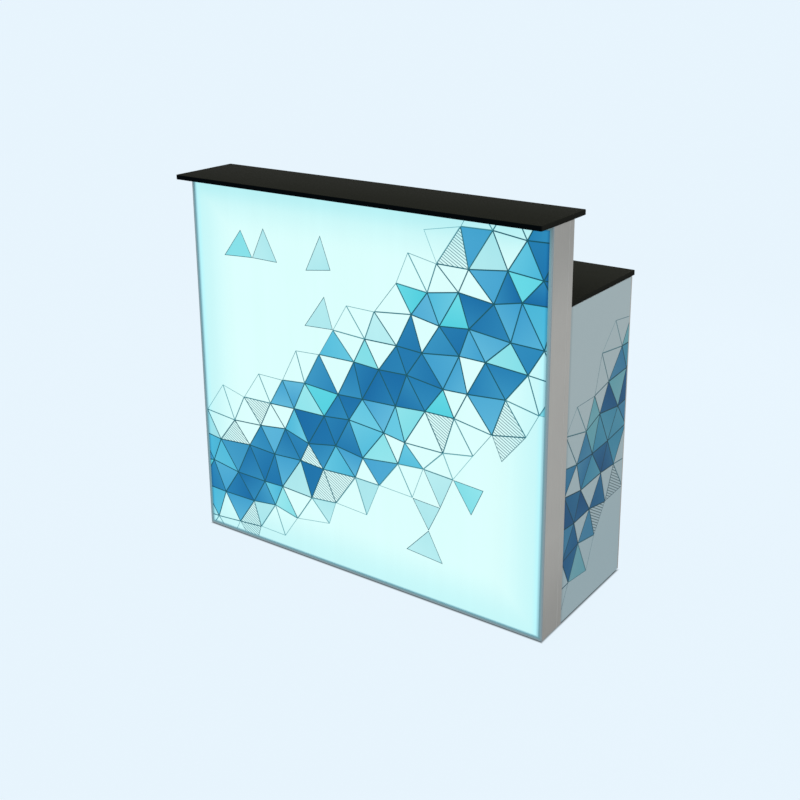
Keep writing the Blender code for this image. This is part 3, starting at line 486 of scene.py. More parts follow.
# Lit front. A printed polyester cloth, stretched over the lightbox by a silicone strip that
# is sewn round its edge and pressed into the frame. The bars behind it make the whole
# print glow, a little weaker towards the frame.
CLOTH_THICK = 0.0008
FRONT_SEED = 11
TILE_SIDE = 0.088
TILE_JITTER = 0.16
TILE_SHIFT = 0.25
INK_LAID_LEAST, INK_LAID_MOST = 0.72, 1.08
PRINT_LINE = 0.0030
INK_LINE = (0.012, 0.085, 0.120)
INK_BLUES = [
    (0.015, 0.165, 0.400),
    (0.030, 0.230, 0.480),
    (0.085, 0.370, 0.640),
    (0.120, 0.500, 0.720),
    (0.130, 0.640, 0.760),
    (0.330, 0.740, 0.820),
    (0.600, 0.810, 0.865),
]
NO_INK = (1.0, 1.0, 1.0)
PLAIN, HATCHED = 1.0, 0.0
HATCH_PITCH = 0.0065
HATCH_ACROSS, HATCH_UP = 0.5, 0.866
HATCH_EDGE = (0.45, 0.75)
HATCH_STRENGTH = 0.8
HATCH_SHARE = 0.07
HATCH_FROM, HATCH_TO = 0.1, 0.9
LOOSE_SHARE = 0.07
LOOSE_MARGIN = 0.08
LINE_FROM = 0.12
LINE_MOST = 0.92
LINE_GAIN, LINE_CURVE = 1.4, 0.8
LINE_ROUND_HATCHING = 0.75
FILL_GAIN, FILL_LESS = 1.25, 0.2
DEPTH_GAIN, DEPTH_SPREAD = 0.75, 0.42
PALEST = 0.999
SWEEP_START, SWEEP_RISE, SWEEP_CURVE = 0.16, 0.72, 1.25
SWEEP_WIDTH, SWEEP_WIDENS = 0.20, 0.12
SWEEP_PEAK = 1.15
GLOW_MIDDLE = (0.680, 0.965, 0.950)
GLOW_OUTER = (0.540, 0.900, 0.915)
GLOW_OUTER_WIDTH = 0.130
GLOW_TOP = (0.440, 0.850, 0.890)
GLOW_TOP_WIDTH = 0.055
GLOW_TOP_LEAST = 0.3
GLOW_SIDE = (0.440, 0.895, 0.955)
GLOW_SIDE_WIDTH = 0.022
GLOW_AT_FRAME = (0.28, 0.55, 0.63)
FRAME_SHADE_WIDTH = 0.008
CLOTH_WHITE = (0.055, 0.062, 0.062)
EVENNESS_BASE = 0.955
STREAK_WEIGHT, CLOUDING_WEIGHT, WEAVE_WEIGHT = 0.05, 0.03, 0.008
YARN_PITCH = 0.0008


def thinned(ink, amount):
    """An ink laid on more thinly, from 1 for full ink down to 0 for none."""
    return tuple(value ** amount for value in ink)


def print_tiles(bm, width, height, seed, ink_at):
    """Lays jittered triangles over a rectangle standing on X and Z, as faces with ink."""
    row_height = TILE_SIDE * math.cos(math.radians(30))
    columns = math.ceil(width / TILE_SIDE) + 3
    rows = math.ceil(height / row_height) + 3
    bmesh.ops.create_grid(bm, x_segments=columns, y_segments=rows, size=0.5)
    bmesh.ops.scale(bm, vec=(columns * TILE_SIDE, rows * row_height, 1), verts=bm.verts)
    chance = random.Random(seed)
    for vertex in bm.verts:
        row = round(vertex.co.y / row_height + rows / 2)
        vertex.co.x += TILE_SIDE * (TILE_SHIFT if row % 2 else -TILE_SHIFT)
        vertex.co.x += TILE_SIDE * chance.uniform(-TILE_JITTER, TILE_JITTER)
        vertex.co.y += row_height * chance.uniform(-TILE_JITTER, TILE_JITTER)
    bmesh.ops.triangulate(bm, faces=bm.faces, quad_method="SHORT_EDGE")
    bmesh.ops.rotate(bm, cent=(0, 0, 0), matrix=Matrix.Rotation(math.pi / 2, 3, "X"), verts=bm.verts)
    tiles = bm.faces[:]
    inks = {}
    for tile in tiles:
        centre = tile.calc_center_median()
        inks[tile] = ink_at(centre.x / width + 0.5, centre.z / height + 0.5, chance)
    bmesh.ops.inset_individual(bm, faces=tiles, thickness=PRINT_LINE / 2, use_even_offset=True)
    layer = bm.loops.layers.float_color.new("ink")
    for tile in tiles:
        ink, fill, outline = inks[tile]
        for loop in tile.loops:
            loop[layer] = (*thinned(ink, chance.uniform(INK_LAID_LEAST, INK_LAID_MOST)), fill)
        for edge in tile.edges:
            for line in edge.link_faces:
                if line is tile:
                    continue
                for loop in line.loops:
                    loop[layer] = (*thinned(INK_LINE, outline), PLAIN)
    for side in (Vector((width / 2, 0, 0)), Vector((0, 0, height / 2))):
        for edge in (side, -side):
            everything = bm.verts[:] + bm.edges[:] + bm.faces[:]
            bmesh.ops.bisect_plane(bm, geom=everything, plane_co=edge, plane_no=edge, clear_outer=True)


def front_density(across, up):
    """How closely the tiles are filled: most along a sweep from low left to high right."""
    sweep = SWEEP_START + SWEEP_RISE * across ** SWEEP_CURVE
    distance = abs(up - sweep) / (SWEEP_WIDTH + SWEEP_WIDENS * across)
    return max(0.0, SWEEP_PEAK - distance)


def tile_ink(density, loose, chance):
    """A tile's ink, fill and outline: mostly full and deep where the design is dense."""
    drawn = chance.random()
    hatched = chance.random() < HATCH_SHARE
    outline = 0.0
    if density > LINE_FROM:
        outline = min(LINE_MOST, (density * LINE_GAIN) ** LINE_CURVE)
    if loose:
        outline = LINE_MOST
    if hatched and HATCH_FROM < density < HATCH_TO:
        return INK_LINE, HATCHED, max(outline, LINE_ROUND_HATCHING)
    if drawn > density * FILL_GAIN - FILL_LESS and not loose:
        return NO_INK, PLAIN, outline
    paleness = 1.0 - density * DEPTH_GAIN + chance.uniform(-DEPTH_SPREAD, DEPTH_SPREAD)
    paleness = min(PALEST, max(0.0, paleness))
    return INK_BLUES[int(paleness * len(INK_BLUES))], PLAIN, outline


def front_ink(across, up, chance):
    """A front tile's ink. A few loose tiles are filled wherever they lie inside the margin."""
    inside = all(LOOSE_MARGIN < share < 1 - LOOSE_MARGIN for share in (across, up))
    return tile_ink(front_density(across, up), inside and chance.random() < LOOSE_SHARE, chance)


def printed_ink(finish):
    """The ink of the print at a point, with its hatched tiles ruled at an angle."""
    ink = finish.node("ShaderNodeAttribute", {"attribute_name": "ink"}, output="Color")
    fill = finish.node("ShaderNodeAttribute", {"attribute_name": "ink"}, output="Alpha")
    x, y, z = finish.parts(finish.place())
    ruled = ((x + y) * HATCH_ACROSS + z * HATCH_UP) * (math.tau / HATCH_PITCH)
    ruling = finish.step(ruled.maths("SINE"), *HATCH_EDGE)
    return finish.blend(fill.maths("MAXIMUM", ruling * HATCH_STRENGTH), NO_INK, ink)


cloth_low, cloth_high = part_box("front_graphic")
cloth_width = cloth_high.x - cloth_low.x
cloth_height = cloth_high.z - cloth_low.z
cloth_middle = (cloth_low + cloth_high) / 2
cloth_middle.y = cloth_low.y

lit_cloth = Finish("lit_cloth")
ink = printed_ink(lit_cloth)
across, _, up = lit_cloth.parts(lit_cloth.place())
from_side = cloth_width / 2 - across.maths("ABSOLUTE")
from_end = cloth_height / 2 - (up - cloth_middle.z).maths("ABSOLUTE")
from_frame = from_side.maths("MINIMUM", from_end)
shade_reach = from_side.maths("MINIMUM", from_end * 2)
near_frame = lit_cloth.step(shade_reach, 0.0, FRAME_SHADE_WIDTH)
near_side = lit_cloth.step(from_side, 0.0, GLOW_SIDE_WIDTH)
near_top = lit_cloth.step(cloth_high.z - up, 0.0, GLOW_TOP_WIDTH)
well_inside = lit_cloth.step(from_frame, 0.0, GLOW_OUTER_WIDTH)
streaks = lit_cloth.noise(scale=26, stretch=(1, 0, 0.02), detail=3.0)
clouding = lit_cloth.noise(scale=5, detail=2.0)
yarn_across = (across * (math.tau / YARN_PITCH)).maths("SINE")
yarn_up = (up * (math.tau / YARN_PITCH)).maths("SINE")
weave = yarn_across * yarn_up
glow = lit_cloth.blend(well_inside, GLOW_OUTER, GLOW_MIDDLE)
glow = lit_cloth.blend(near_side, GLOW_SIDE, glow)
glow = lit_cloth.blend(near_top * (1 - GLOW_TOP_LEAST) + GLOW_TOP_LEAST, GLOW_TOP, glow)
unevenness = streaks * STREAK_WEIGHT + clouding * CLOUDING_WEIGHT + weave * WEAVE_WEIGHT
shadowed = lit_cloth.blend(near_frame, GLOW_AT_FRAME, glow)
printed_glow = lit_cloth.blend(1.0, shadowed, ink, "MULTIPLY")
dimmed = lit_cloth.node(
    "ShaderNodeVectorMath", {"operation": "SCALE"},
    {0: printed_glow, "Scale": EVENNESS_BASE + unevenness},
)
lit_cloth.surface(
    lit_cloth.blend(1.0, ink, CLOTH_WHITE, "MULTIPLY"),
    grain=weave, roughness=0.82, spread=0.05, relief=0.00006,
    Emission_Color=dimmed, Emission_Strength=1.0, Specular_IOR_Level=0.15,
)

cloth_shape = bmesh.new()
print_tiles(cloth_shape, cloth_width, cloth_height, FRONT_SEED, front_ink)
bmesh.ops.translate(cloth_shape, vec=cloth_middle, verts=cloth_shape.verts)
cloth = finished_piece("lit_front_cloth", cloth_shape, lit_cloth.material)
cloth_body = cloth.modifiers.new("cloth thickness", "SOLIDIFY")
cloth_body.thickness = CLOTH_THICK
cloth_body.offset = -1
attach(cloth, "counter")
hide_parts("front_graphic")

SILICONE = (0.62, 0.68, 0.68)
SILICONE_CLEAR = (0.74, 0.80, 0.80)
SILICONE_ROUGHNESS, SILICONE_SPREAD = 0.34, 0.1
STRIP_WIDTH = 0.0026

silicone = Finish("silicone_strip")
silicone_haze = silicone.noise(scale=180, detail=2.0)
silicone.shade(
    Base_Color=silicone.blend(silicone_haze, SILICONE, SILICONE_CLEAR),
    Roughness=SILICONE_ROUGHNESS + silicone_haze * SILICONE_SPREAD,
)
strip_shape = bmesh.new()
bmesh.ops.create_grid(strip_shape, x_segments=1, y_segments=1, size=0.5)
bmesh.ops.scale(strip_shape, vec=(cloth_width, cloth_height, 1), verts=strip_shape.verts)
upright = Matrix.Rotation(math.pi / 2, 3, "X")
bmesh.ops.rotate(strip_shape, cent=(0, 0, 0), matrix=upright, verts=strip_shape.verts)
strip_front = cloth_middle + Vector((0, CLOTH_THICK, 0))
bmesh.ops.translate(strip_shape, vec=strip_front, verts=strip_shape.verts)
strip_middle = strip_shape.faces[:]
bmesh.ops.inset_individual(strip_shape, faces=strip_middle, thickness=STRIP_WIDTH, use_even_offset=True)
bmesh.ops.delete(strip_shape, geom=strip_middle, context="FACES")
strip_rear = bmesh.ops.extrude_face_region(strip_shape, geom=strip_shape.faces[:])["geom"]
bmesh.ops.translate(
    strip_shape,
    vec=(0, cloth_high.y - strip_front.y, 0),
    verts=[item for item in strip_rear if isinstance(item, bmesh.types.BMVert)],
)
bmesh.ops.recalc_face_normals(strip_shape, faces=strip_shape.faces)
strip = finished_piece("silicone_edge_strip", strip_shape, silicone.material)
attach(strip, "counter")

# Bar top and desk top. Two 12 mm slabs of solid black laminate with a satin face, rounded corners,
# and painted light and shade on the edges: long edges painted darker and bluish, side edges a
# little lighter than the face. Two screws hold the bar top.
SLAB_CORNER = 0.004
SLAB_CORNER_STEPS = 8
SLAB_EASE = 0.0009
TOP_AND_BOTTOM_ANGLE = math.radians(60)
LAMINATE_DARK = (0.0112, 0.0117, 0.0077)
LAMINATE_LIGHT = (0.0184, 0.0190, 0.0146)
# Painted shade for the long edges and painted light for the side edges.
LONG_EDGE_PAINTED_SHADE = (0.0012, 0.0028, 0.0042)
SIDE_EDGE_PAINTED_LIGHT = (0.0212, 0.0224, 0.0186)
EDGE_SPECKLE = 0.1
LAMINATE_ROUGHNESS, LAMINATE_SPREAD = 0.46, 0.14
LAMINATE_RELIEF = 0.00004
STANDS_UPRIGHT = 0.5

laminate = Finish("black_laminate")
pearl = laminate.noise(scale=1100, detail=2.0)
wiped = laminate.noise(scale=7, stretch=(1, 3, 1), detail=4.0, roughness=0.6)
laminate_face = laminate.blend((pearl + wiped) * 0.5, LAMINATE_DARK, LAMINATE_LIGHT)
edge_painted_light = laminate.node("ShaderNodeAttribute", {"attribute_name": "edge"}, output="Color")
on_edge = laminate.node("ShaderNodeAttribute", {"attribute_name": "edge"}, output="Alpha")
laminate.shade(
    Base_Color=laminate.blend(
        on_edge * (1 - EDGE_SPECKLE + pearl * EDGE_SPECKLE), laminate_face, edge_painted_light
    ),
    Roughness=LAMINATE_ROUGHNESS + wiped * LAMINATE_SPREAD,
    Normal=laminate.bump(pearl, LAMINATE_RELIEF),
    Specular_IOR_Level=0.0032,
)
for node, name in (("bar_top", "bar_top_slab"), ("desk_top", "desk_top_slab")):
    low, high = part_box(node)
    slab = bmesh.new()
    bmesh.ops.create_cube(slab, size=1)
    bmesh.ops.scale(slab, vec=high - low, verts=slab.verts)
    bmesh.ops.translate(slab, vec=(high + low) / 2, verts=slab.verts)
    corners = [
        edge for edge in slab.edges
        if (edge.verts[0].co - edge.verts[1].co).xy.length < SAME_PLACE
    ]
    bmesh.ops.bevel(
        slab, geom=corners, offset=SLAB_CORNER, segments=SLAB_CORNER_STEPS, affect="EDGES",
        profile=0.5, material=-1,
    )
    top_and_bottom = [
        edge for edge in slab.edges
        if abs(edge.verts[0].co.z - edge.verts[1].co.z) < SAME_PLACE
        and edge.calc_face_angle(0) > TOP_AND_BOTTOM_ANGLE
    ]
    bmesh.ops.bevel(
        slab, geom=top_and_bottom, offset=SLAB_EASE, segments=3, affect="EDGES", profile=0.5,
        material=-1,
    )
    # Painted light and shade: each upright face gets the darker bluish or the lighter edge colour by
    # which way it points.
    edge_light_layer = slab.loops.layers.float_color.new("edge")
    for face in slab.faces:
        colour = Vector(SIDE_EDGE_PAINTED_LIGHT).lerp(LONG_EDGE_PAINTED_SHADE, abs(face.normal.y))
        on_edge_face = 1.0 if abs(face.normal.z) < STANDS_UPRIGHT else 0.0
        for loop in face.loops:
            loop[edge_light_layer] = (*colour, on_edge_face)
    dress(node, name, slab, laminate.material, smooth_angle=25)
paint(steel_upright, "bar_top_screw_left", "bar_top_screw_right")

# Cabinet boards. 16 mm white melamine-faced chipboard with glued white edge bands: the two
# sides, the base, the plinth rail, the top rail and the shelf on its four steel pegs.
BOARD_WHITE = (0.76, 0.785, 0.79)
BOARD_SHADE = (0.70, 0.73, 0.74)
BOARD_EASE = 0.0008
PEARL_SHARE = 0.4

melamine = Finish("white_melamine")
melamine_pearl = melamine.noise(scale=520, detail=3.0)
melamine_tone = melamine.noise(scale=6, detail=3.0)
board_tone = melamine_tone * (1 - PEARL_SHARE) + melamine_pearl * PEARL_SHARE
melamine.surface(
    melamine.blend(board_tone, BOARD_WHITE, BOARD_SHADE),
    grain=melamine_pearl, roughness=0.46, spread=0.14, relief=0.00006, Specular_IOR_Level=0.35,
)
for node in ("side_panel_left", "side_panel_right", "base_board", "plinth_rail", "top_rail", "shelf"):
    board = merged_copy(node)
    ease_edges(board, BOARD_EASE, shortest=0.014)
    dress(node, f"{node}_banded", board, melamine.material)
paint(
    steel_level,
    *[f"shelf_peg_{row}_{side}" for row in ("front", "rear") for side in ("left", "right")],
)

# Printed sides. A 1 mm printed plastic skin glued to the outside of each side board, its
# rear edge under a thin silver angle. The print is not lit, so it looks quieter.
SKIN_BARE = (0.668, 0.808, 0.824)
# Painted shade for the lower part of the skin, and the heights it fades in over.
SKIN_PAINTED_SHADE = (0.552, 0.732, 0.780)
SKIN_LOW_FROM, SKIN_LOW_TO = 0.6, 0.05
SKIN_CLOUDS_SHARE = 0.2
SEAM_SHADE = (0.40, 0.49, 0.51)
SEAM_SHADE_WIDTH = 0.016
SEAM_SHADE_STRENGTH = 0.6
SIDE_SEED = 5
RIDGE_START, RIDGE_RISE = 0.30, 0.34
RIDGE_WIDTH = 0.26
RIDGE_PEAK = 1.2
TRIM_EASE = 0.0002

skin_print = Finish("printed_skin")
skin_ink = printed_ink(skin_print)
_, skin_back, skin_up = skin_print.parts(skin_print.place())
skin_grain = skin_print.noise(scale=900, detail=2.0)
skin_clouds = skin_print.noise(scale=8, detail=3.0)
# Painted shade: the bare skin is painted darker and bluer towards the floor, mixed with random clouds.
painted_low_shade = skin_print.step(skin_up, SKIN_LOW_FROM, SKIN_LOW_TO)
painted_shade_and_clouds = painted_low_shade * (1 - SKIN_CLOUDS_SHARE) + skin_clouds * SKIN_CLOUDS_SHARE
skin_tone = skin_print.blend(painted_shade_and_clouds, SKIN_BARE, SKIN_PAINTED_SHADE)
skin_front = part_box("side_graphic_right")[0].y
at_seam = 1 - skin_print.step(skin_back, skin_front, skin_front + SEAM_SHADE_WIDTH)
shaded_skin = skin_print.blend(at_seam * SEAM_SHADE_STRENGTH, skin_tone, SEAM_SHADE)
skin_print.surface(
    skin_print.blend(1.0, shaded_skin, skin_ink, "MULTIPLY"),
    grain=skin_grain, roughness=0.42, spread=0.12, relief=0.00003, Specular_IOR_Level=0.3,
)


def side_density(across, up):
    """Most filled low down and towards the rear, and bare near the desk top."""
    ridge = RIDGE_START + RIDGE_RISE * across
    return max(0.0, RIDGE_PEAK - abs(up - ridge) / RIDGE_WIDTH)


def side_ink(across, up, chance):
    return tile_ink(side_density(across, up), False, chance)


for side, word in ((-1, "left"), (1, "right")):
    low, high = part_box(f"side_graphic_{word}")
    skin = bmesh.new()
    print_tiles(skin, high.y - low.y, high.z - low.z, SIDE_SEED + side, side_ink)
    turn = Matrix.Rotation(side * math.pi / 2, 3, "Z")
    bmesh.ops.rotate(skin, cent=(0, 0, 0), matrix=turn, verts=skin.verts)
    outer_middle = (low + high) / 2
    outer_middle.x = high.x if side > 0 else low.x
    bmesh.ops.translate(skin, vec=outer_middle, verts=skin.verts)
    piece = dress(
        f"side_graphic_{word}", f"printed_skin_{word}", skin, skin_print.material
    )
    thickness = piece.modifiers.new("skin thickness", "SOLIDIFY")
    thickness.thickness = high.x - low.x
    thickness.offset = -1
    trim = merged_copy(f"side_trim_{word}")
    ease_edges(trim, TRIM_EASE, shortest=0.3)
    dress(f"side_trim_{word}", f"side_trim_{word}_angle", trim, silver_upright)

# Doors. Two white melamine doors with the same edge bands as the cabinet, hung at the
# outer edges. Each carries its hinge leaves, a bow handle and a cam lock.
for word in ("left", "right"):
    door = merged_copy(f"door_{word}")
    ease_edges(door, BOARD_EASE, shortest=0.012)
    dress(f"door_{word}", f"door_{word}_banded", door, melamine.material)

# Hinges. Plated steel butt hinges with three knuckles on a headed pin. Socket-head screws
# hold each leaf flat on the rear face of its board.
SCREW_RADIUS = 0.0021
SCREW_RISE = 0.0006
SCREW_DOME = 0.6 * SCREW_RISE
SCREW_SIDES = 12
SOCKET_ACROSS = 0.0010
SOCKET_DEPTH = 0.0007
HALF_SOCKET_SIDE = math.radians(30)
SCREW_LEVELS = (-0.0165, 0.0, 0.0165)
SCREW_ACROSS_LEAF = 0.36

hinge_leaves = [
    f"hinge_{part}_leaf_{level}_{side}"
    for part in ("frame", "door") for level in ("low", "high") for side in ("left", "right")
]
paint(steel_upright, *hinge_leaves)
paint(
    steel_level,
    *[f"hinge_pin_{level}_{side}" for level in ("low", "high") for side in ("left", "right")],
)


def screw_head(point, normal):
    """A domed screw head with a six-sided socket, on a face at a point."""
    bm = bmesh.new()
    bmesh.ops.create_circle(bm, cap_ends=True, segments=SCREW_SIDES, radius=SCREW_RADIUS)
    top = bm.faces[:]
    sides = bmesh.ops.extrude_face_region(bm, geom=top)["geom"]
    crown = [item for item in sides if isinstance(item, bmesh.types.BMVert)]
    bmesh.ops.translate(bm, vec=(0, 0, SCREW_RISE), verts=crown)
    crown_face = next(item for item in sides if isinstance(item, bmesh.types.BMFace))
    rim = list(crown_face.edges)
    bmesh.ops.bevel(
        bm, geom=rim, offset=SCREW_DOME, segments=2, affect="EDGES", profile=0.5, material=-1
    )
    crown_face = max(bm.faces, key=lambda face: face.calc_center_median().z + face.calc_area())
    inset = SCREW_RADIUS - SCREW_DOME - SOCKET_ACROSS
    bmesh.ops.inset_individual(bm, faces=[crown_face], thickness=inset, use_even_offset=True)
    for index, vertex in enumerate(crown_face.verts):
        reach = SOCKET_ACROSS / math.cos(HALF_SOCKET_SIDE) if index % 2 else SOCKET_ACROSS
        angle = math.atan2(vertex.co.y, vertex.co.x)
        vertex.co.x, vertex.co.y = reach * math.cos(angle), reach * math.sin(angle)
    well = bmesh.ops.extrude_discrete_faces(bm, faces=[crown_face])["faces"][0]
    bmesh.ops.translate(bm, vec=(0, 0, -SOCKET_DEPTH), verts=well.verts)
    bmesh.ops.recalc_face_normals(bm, faces=bm.faces)
    place_on(bm, point, normal)
    return bm


def set_of_screws(name, body, heads):
    """Joins screw heads into one piece that rides on a body."""
    joined = bpy.data.meshes.new("joined screws")
    every = bmesh.new()
    for point, normal in heads:
        head = screw_head(point, normal)
        head.to_mesh(joined)
        head.free()
        every.from_mesh(joined)
    bpy.data.meshes.remove(joined)
    piece = finished_piece(name, every, steel_level, smooth_angle=35)
    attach(piece, body)


for leaf in hinge_leaves:
    low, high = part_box(leaf)
    side = 1 if leaf.endswith("right") else -1
    toward = side if "_frame_" in leaf else -side
    knuckle_edge = low.x if toward > 0 else high.x
    plate_edge = high.x if toward > 0 else low.x
    screw_x = plate_edge + (knuckle_edge - plate_edge) * SCREW_ACROSS_LEAF
    levels = SCREW_LEVELS if "_door_" in leaf else (SCREW_LEVELS[0], SCREW_LEVELS[2])
    heads = [face_through(leaf, screw_x, (low.z + high.z) / 2 + level) for level in levels]
    set_of_screws(f"{leaf}_screws", body_names[leaf], heads)

# Handles and locks. Bow handles bent from plated steel flat bar and screwed through the
# doors, and cam locks with a turned flange, a keyed plug and a flat tongue behind.
HANDLE_EASE = 0.0012
HANDLE_BENDS = ((0.0, 0.0085, 8), (0.006, 0.0025, 5))
BEND_AT = 1e-5
BEND_LEAST = 0.005
FIXING_FROM_END = 0.003
FLANGE_HEIGHT = 0.0025
FLANGE_EASE = 0.0006
BARREL_RADIUS = 0.008
BORE_RADIUS = 0.0063
LOCK_STEPS = 48

for word in ("left", "right"):
    handle = merged_copy(f"door_handle_{word}")
    low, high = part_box(f"door_handle_{word}")
    for depth, radius, segments in HANDLE_BENDS:
        across_the_bend = [
            edge for edge in handle.edges
            if all(abs(vertex.co.y - (high.y - depth)) < BEND_AT for vertex in edge.verts)
            and abs(edge.verts[0].co.x - edge.verts[1].co.x) > BEND_LEAST
        ]
        bmesh.ops.bevel(
            handle, geom=across_the_bend, offset=radius, segments=segments, affect="EDGES",
            profile=0.5, material=-1,
        )
    ease_edges(handle, HANDLE_EASE, shortest=0.0, segments=3)
    dress(f"door_handle_{word}", f"bow_handle_{word}", handle, steel_upright, smooth_angle=30)
    door_low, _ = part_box(f"door_{word}")
    fixings = [
        (Vector(((low.x + high.x) / 2, door_low.y, level)), Vector((0, -1, 0)))
        for level in (low.z + FIXING_FROM_END, high.z - FIXING_FROM_END)
    ]
    set_of_screws(f"handle_{word}_fixings", f"{word}_door", fixings)
    low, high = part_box(f"lock_housing_{word}")
    axis = Vector(((low.x + high.x) / 2, 0, (low.z + high.z) / 2))
    flange_radius = (high.x - low.x) / 2
    housing = bmesh.new()
    profile = [
        housing.verts.new(axis + Vector((radius, y, 0))) for radius, y in (
            (BORE_RADIUS, high.y),
            (flange_radius - FLANGE_EASE, high.y),
            (flange_radius, high.y - FLANGE_EASE),
            (flange_radius, high.y - FLANGE_HEIGHT),
            (BARREL_RADIUS, high.y - FLANGE_HEIGHT),
            (BARREL_RADIUS, low.y),
            (BORE_RADIUS, low.y),
        )
    ]
    ring = [housing.edges.new(pair) for pair in zip(profile, profile[1:] + profile[:1])]
    bmesh.ops.spin(
        housing, geom=profile + ring, cent=axis, axis=(0, 1, 0), angle=math.tau,
        steps=LOCK_STEPS, use_merge=True,
    )
    bmesh.ops.remove_doubles(housing, verts=housing.verts, dist=SAME_PLACE)
    bmesh.ops.recalc_face_normals(housing, faces=housing.faces)
    dress(f"lock_housing_{word}", f"lock_flange_{word}", housing, steel_level, smooth_angle=25)
paint(steel_level, "lock_plug_left", "lock_plug_right")

# Feet. Black moulded levelling feet, screwed up into the lightbox brackets in front and
# into the ends of the side boards behind.
paint(
    black_plastic.material,
    *[f"foot_{row}_{side}" for row in ("front", "rear") for side in ("left", "right")],
)

# Studio. A plain pale floor under a pale sky, a broad soft sun from the front left, and the
# camera where the photograph was taken.
BACKDROP = (0.799, 0.905, 0.982)
SKY_LIGHT = (0.50, 0.515, 0.53)
SKY_LOW, SKY_HIGH = 0.55, 1.45
SKY_FADE = 0.8
FLOOR_SIZE = 120.0
FLOOR_DIFFUSE = 0.015
SUN_ON_FLOOR = 0.22
CONTACT_SHADE = 0.004
SHADED_FLOOR = (0.055, 0.074, 0.081)
SUN_STRENGTH = 0.9
SUN_ANGLE = 60
SUN_HEADING = (0.45, 0.62, -0.95)
REAR_LIGHT_POWER = 34
REAR_LIGHT_SIZE = 1.4
REAR_LIGHT_PLACE = (0.1, 2.3, 1.7)
REAR_LIGHT_AIM = (0, 0, 0.5)
FOCAL_PIXELS = 1162.2
PHOTO_PIXELS = 800
SENSOR = 36.0
CAMERA_PLACE = (1.6450, -2.2932, 1.5287)
CAMERA_YAW = -0.6132
CAMERA_PITCH = 0.2838
CAMERA_ROLL = -0.0050
PRINCIPAL_POINT = (412, 296)
FARTHEST_SEEN = 300


class Sky(Finish):
    """The world, its nodes made in the same way as a material's."""

    def __init__(self, name):
        self.world = bpy.data.worlds.new(name)
        self.world.use_nodes = True
        self.tree = self.world.node_tree
        self.tree.nodes.remove(self.tree.nodes["Background"])
        self.shader = self.tree.nodes["World Output"]


sky = Sky("pale studio")
height_of_sky = sky.parts(sky.node("ShaderNodeTexCoord", output="Generated"))[2]
sky_strength = sky.node(
    "ShaderNodeMapRange",
    values={"Value": height_of_sky, 1: -SKY_FADE, 2: SKY_FADE, 3: SKY_LOW, 4: SKY_HIGH},
)
lighting = sky.node("ShaderNodeBackground", values={"Color": SKY_LIGHT, "Strength": sky_strength})
seen = sky.node("ShaderNodeBackground", values={"Color": BACKDROP})
camera_sees = sky.node("ShaderNodeLightPath", output="Is Camera Ray")
sky.shade(Surface=sky.node("ShaderNodeMixShader", values=(camera_sees, lighting, seen)))
bpy.context.scene.world = sky.world

floor_paint = Finish("studio_floor")
floor_light = tuple(
    max(0.0, seen_value - FLOOR_DIFFUSE * (light + SUN_ON_FLOOR))
    for seen_value, light in zip(BACKDROP, SKY_LIGHT)
)
floor_x, floor_y, _ = floor_paint.parts(floor_paint.place())
_, rear_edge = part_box("side_trim_right")
past_side = floor_x.maths("ABSOLUTE") - frame_high.x
past_front = frame_low.y - floor_y
beside_it = floor_paint.step(past_side.maths("MAXIMUM", past_front), -CONTACT_SHADE, CONTACT_SHADE)
_, plinth_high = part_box("plinth_rail")
under_the_doors = (plinth_high.y + rear_edge.y) / 2
behind_it = floor_paint.step(floor_y, under_the_doors, rear_edge.y + CONTACT_SHADE)
in_the_open = beside_it.maths("MAXIMUM", behind_it)
floor_paint.shade(
    Base_Color=(FLOOR_DIFFUSE,) * 3,
    Roughness=1.0,
    Specular_IOR_Level=0.0,
    Emission_Color=floor_paint.blend(in_the_open, SHADED_FLOOR, floor_light),
    Emission_Strength=1.0,
)
floor_shape = bmesh.new()
bmesh.ops.create_grid(floor_shape, x_segments=4, y_segments=4, size=FLOOR_SIZE / 2)
floor = finished_piece("studio_floor", floor_shape, floor_paint.material)
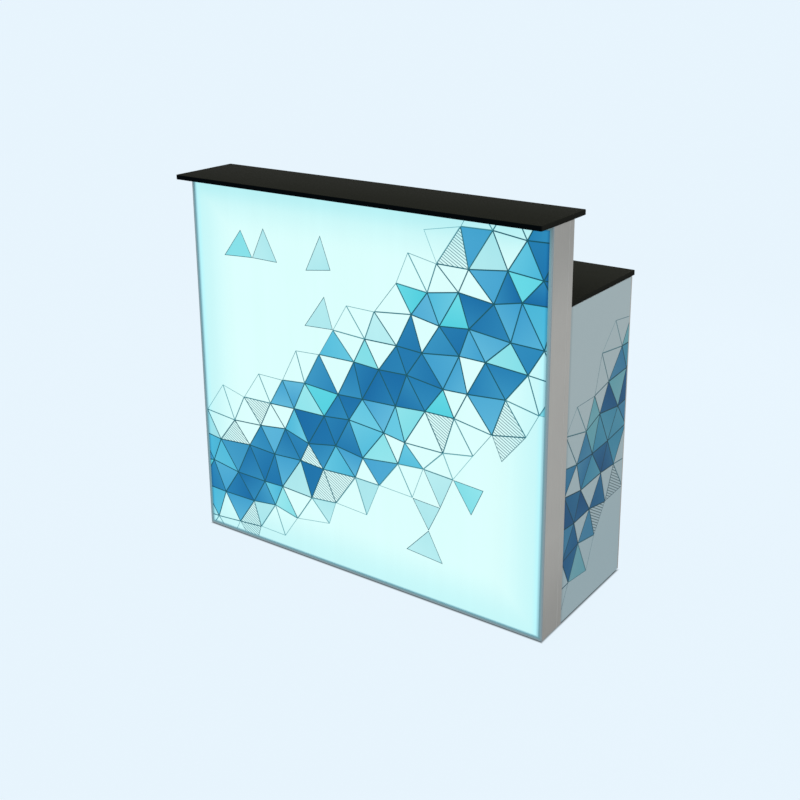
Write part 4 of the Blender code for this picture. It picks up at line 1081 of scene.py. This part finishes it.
floor.visible_diffuse = False
floor.visible_glossy = False

sun_data = bpy.data.lights.new("soft sun", "SUN")
sun_data.energy = SUN_STRENGTH
sun_data.angle = math.radians(SUN_ANGLE)
sun = bpy.data.objects.new("soft sun", sun_data)
sun.rotation_euler = Vector(SUN_HEADING).to_track_quat("-Z", "Y").to_euler()
bpy.context.scene.collection.objects.link(sun)

rear_light_data = bpy.data.lights.new("rear softbox", "AREA")
rear_light_data.energy = REAR_LIGHT_POWER
rear_light_data.size = REAR_LIGHT_SIZE
rear_light = bpy.data.objects.new("rear softbox", rear_light_data)
rear_light.location = REAR_LIGHT_PLACE
rear_light.visible_glossy = False
rear_heading = Vector(REAR_LIGHT_AIM) - rear_light.location
rear_light.rotation_euler = rear_heading.to_track_quat("-Z", "Y").to_euler()
bpy.context.scene.collection.objects.link(rear_light)

camera_data = bpy.data.cameras.new("photo camera")
camera_data.sensor_width = SENSOR
camera_data.lens = FOCAL_PIXELS * SENSOR / PHOTO_PIXELS
camera_data.shift_x = (PHOTO_PIXELS / 2 - PRINCIPAL_POINT[0]) / PHOTO_PIXELS
camera_data.shift_y = (PRINCIPAL_POINT[1] - PHOTO_PIXELS / 2) / PHOTO_PIXELS
camera_data.clip_end = FARTHEST_SEEN
camera = bpy.data.objects.new("photo camera", camera_data)
forward = Vector((
    math.sin(CAMERA_YAW) * math.cos(CAMERA_PITCH),
    math.cos(CAMERA_YAW) * math.cos(CAMERA_PITCH),
    -math.sin(CAMERA_PITCH),
))
level_right = forward.cross(Vector((0, 0, 1))).normalized()
level_up = level_right.cross(forward)
right = math.cos(CAMERA_ROLL) * level_right + math.sin(CAMERA_ROLL) * level_up
upward = math.cos(CAMERA_ROLL) * level_up - math.sin(CAMERA_ROLL) * level_right
facing = Matrix((right, upward, -forward)).transposed().to_4x4()
camera.matrix_world = Matrix.Translation(CAMERA_PLACE) @ facing
bpy.context.scene.collection.objects.link(camera)
bpy.context.scene.camera = camera
bpy.context.scene.view_settings.view_transform = "Standard"
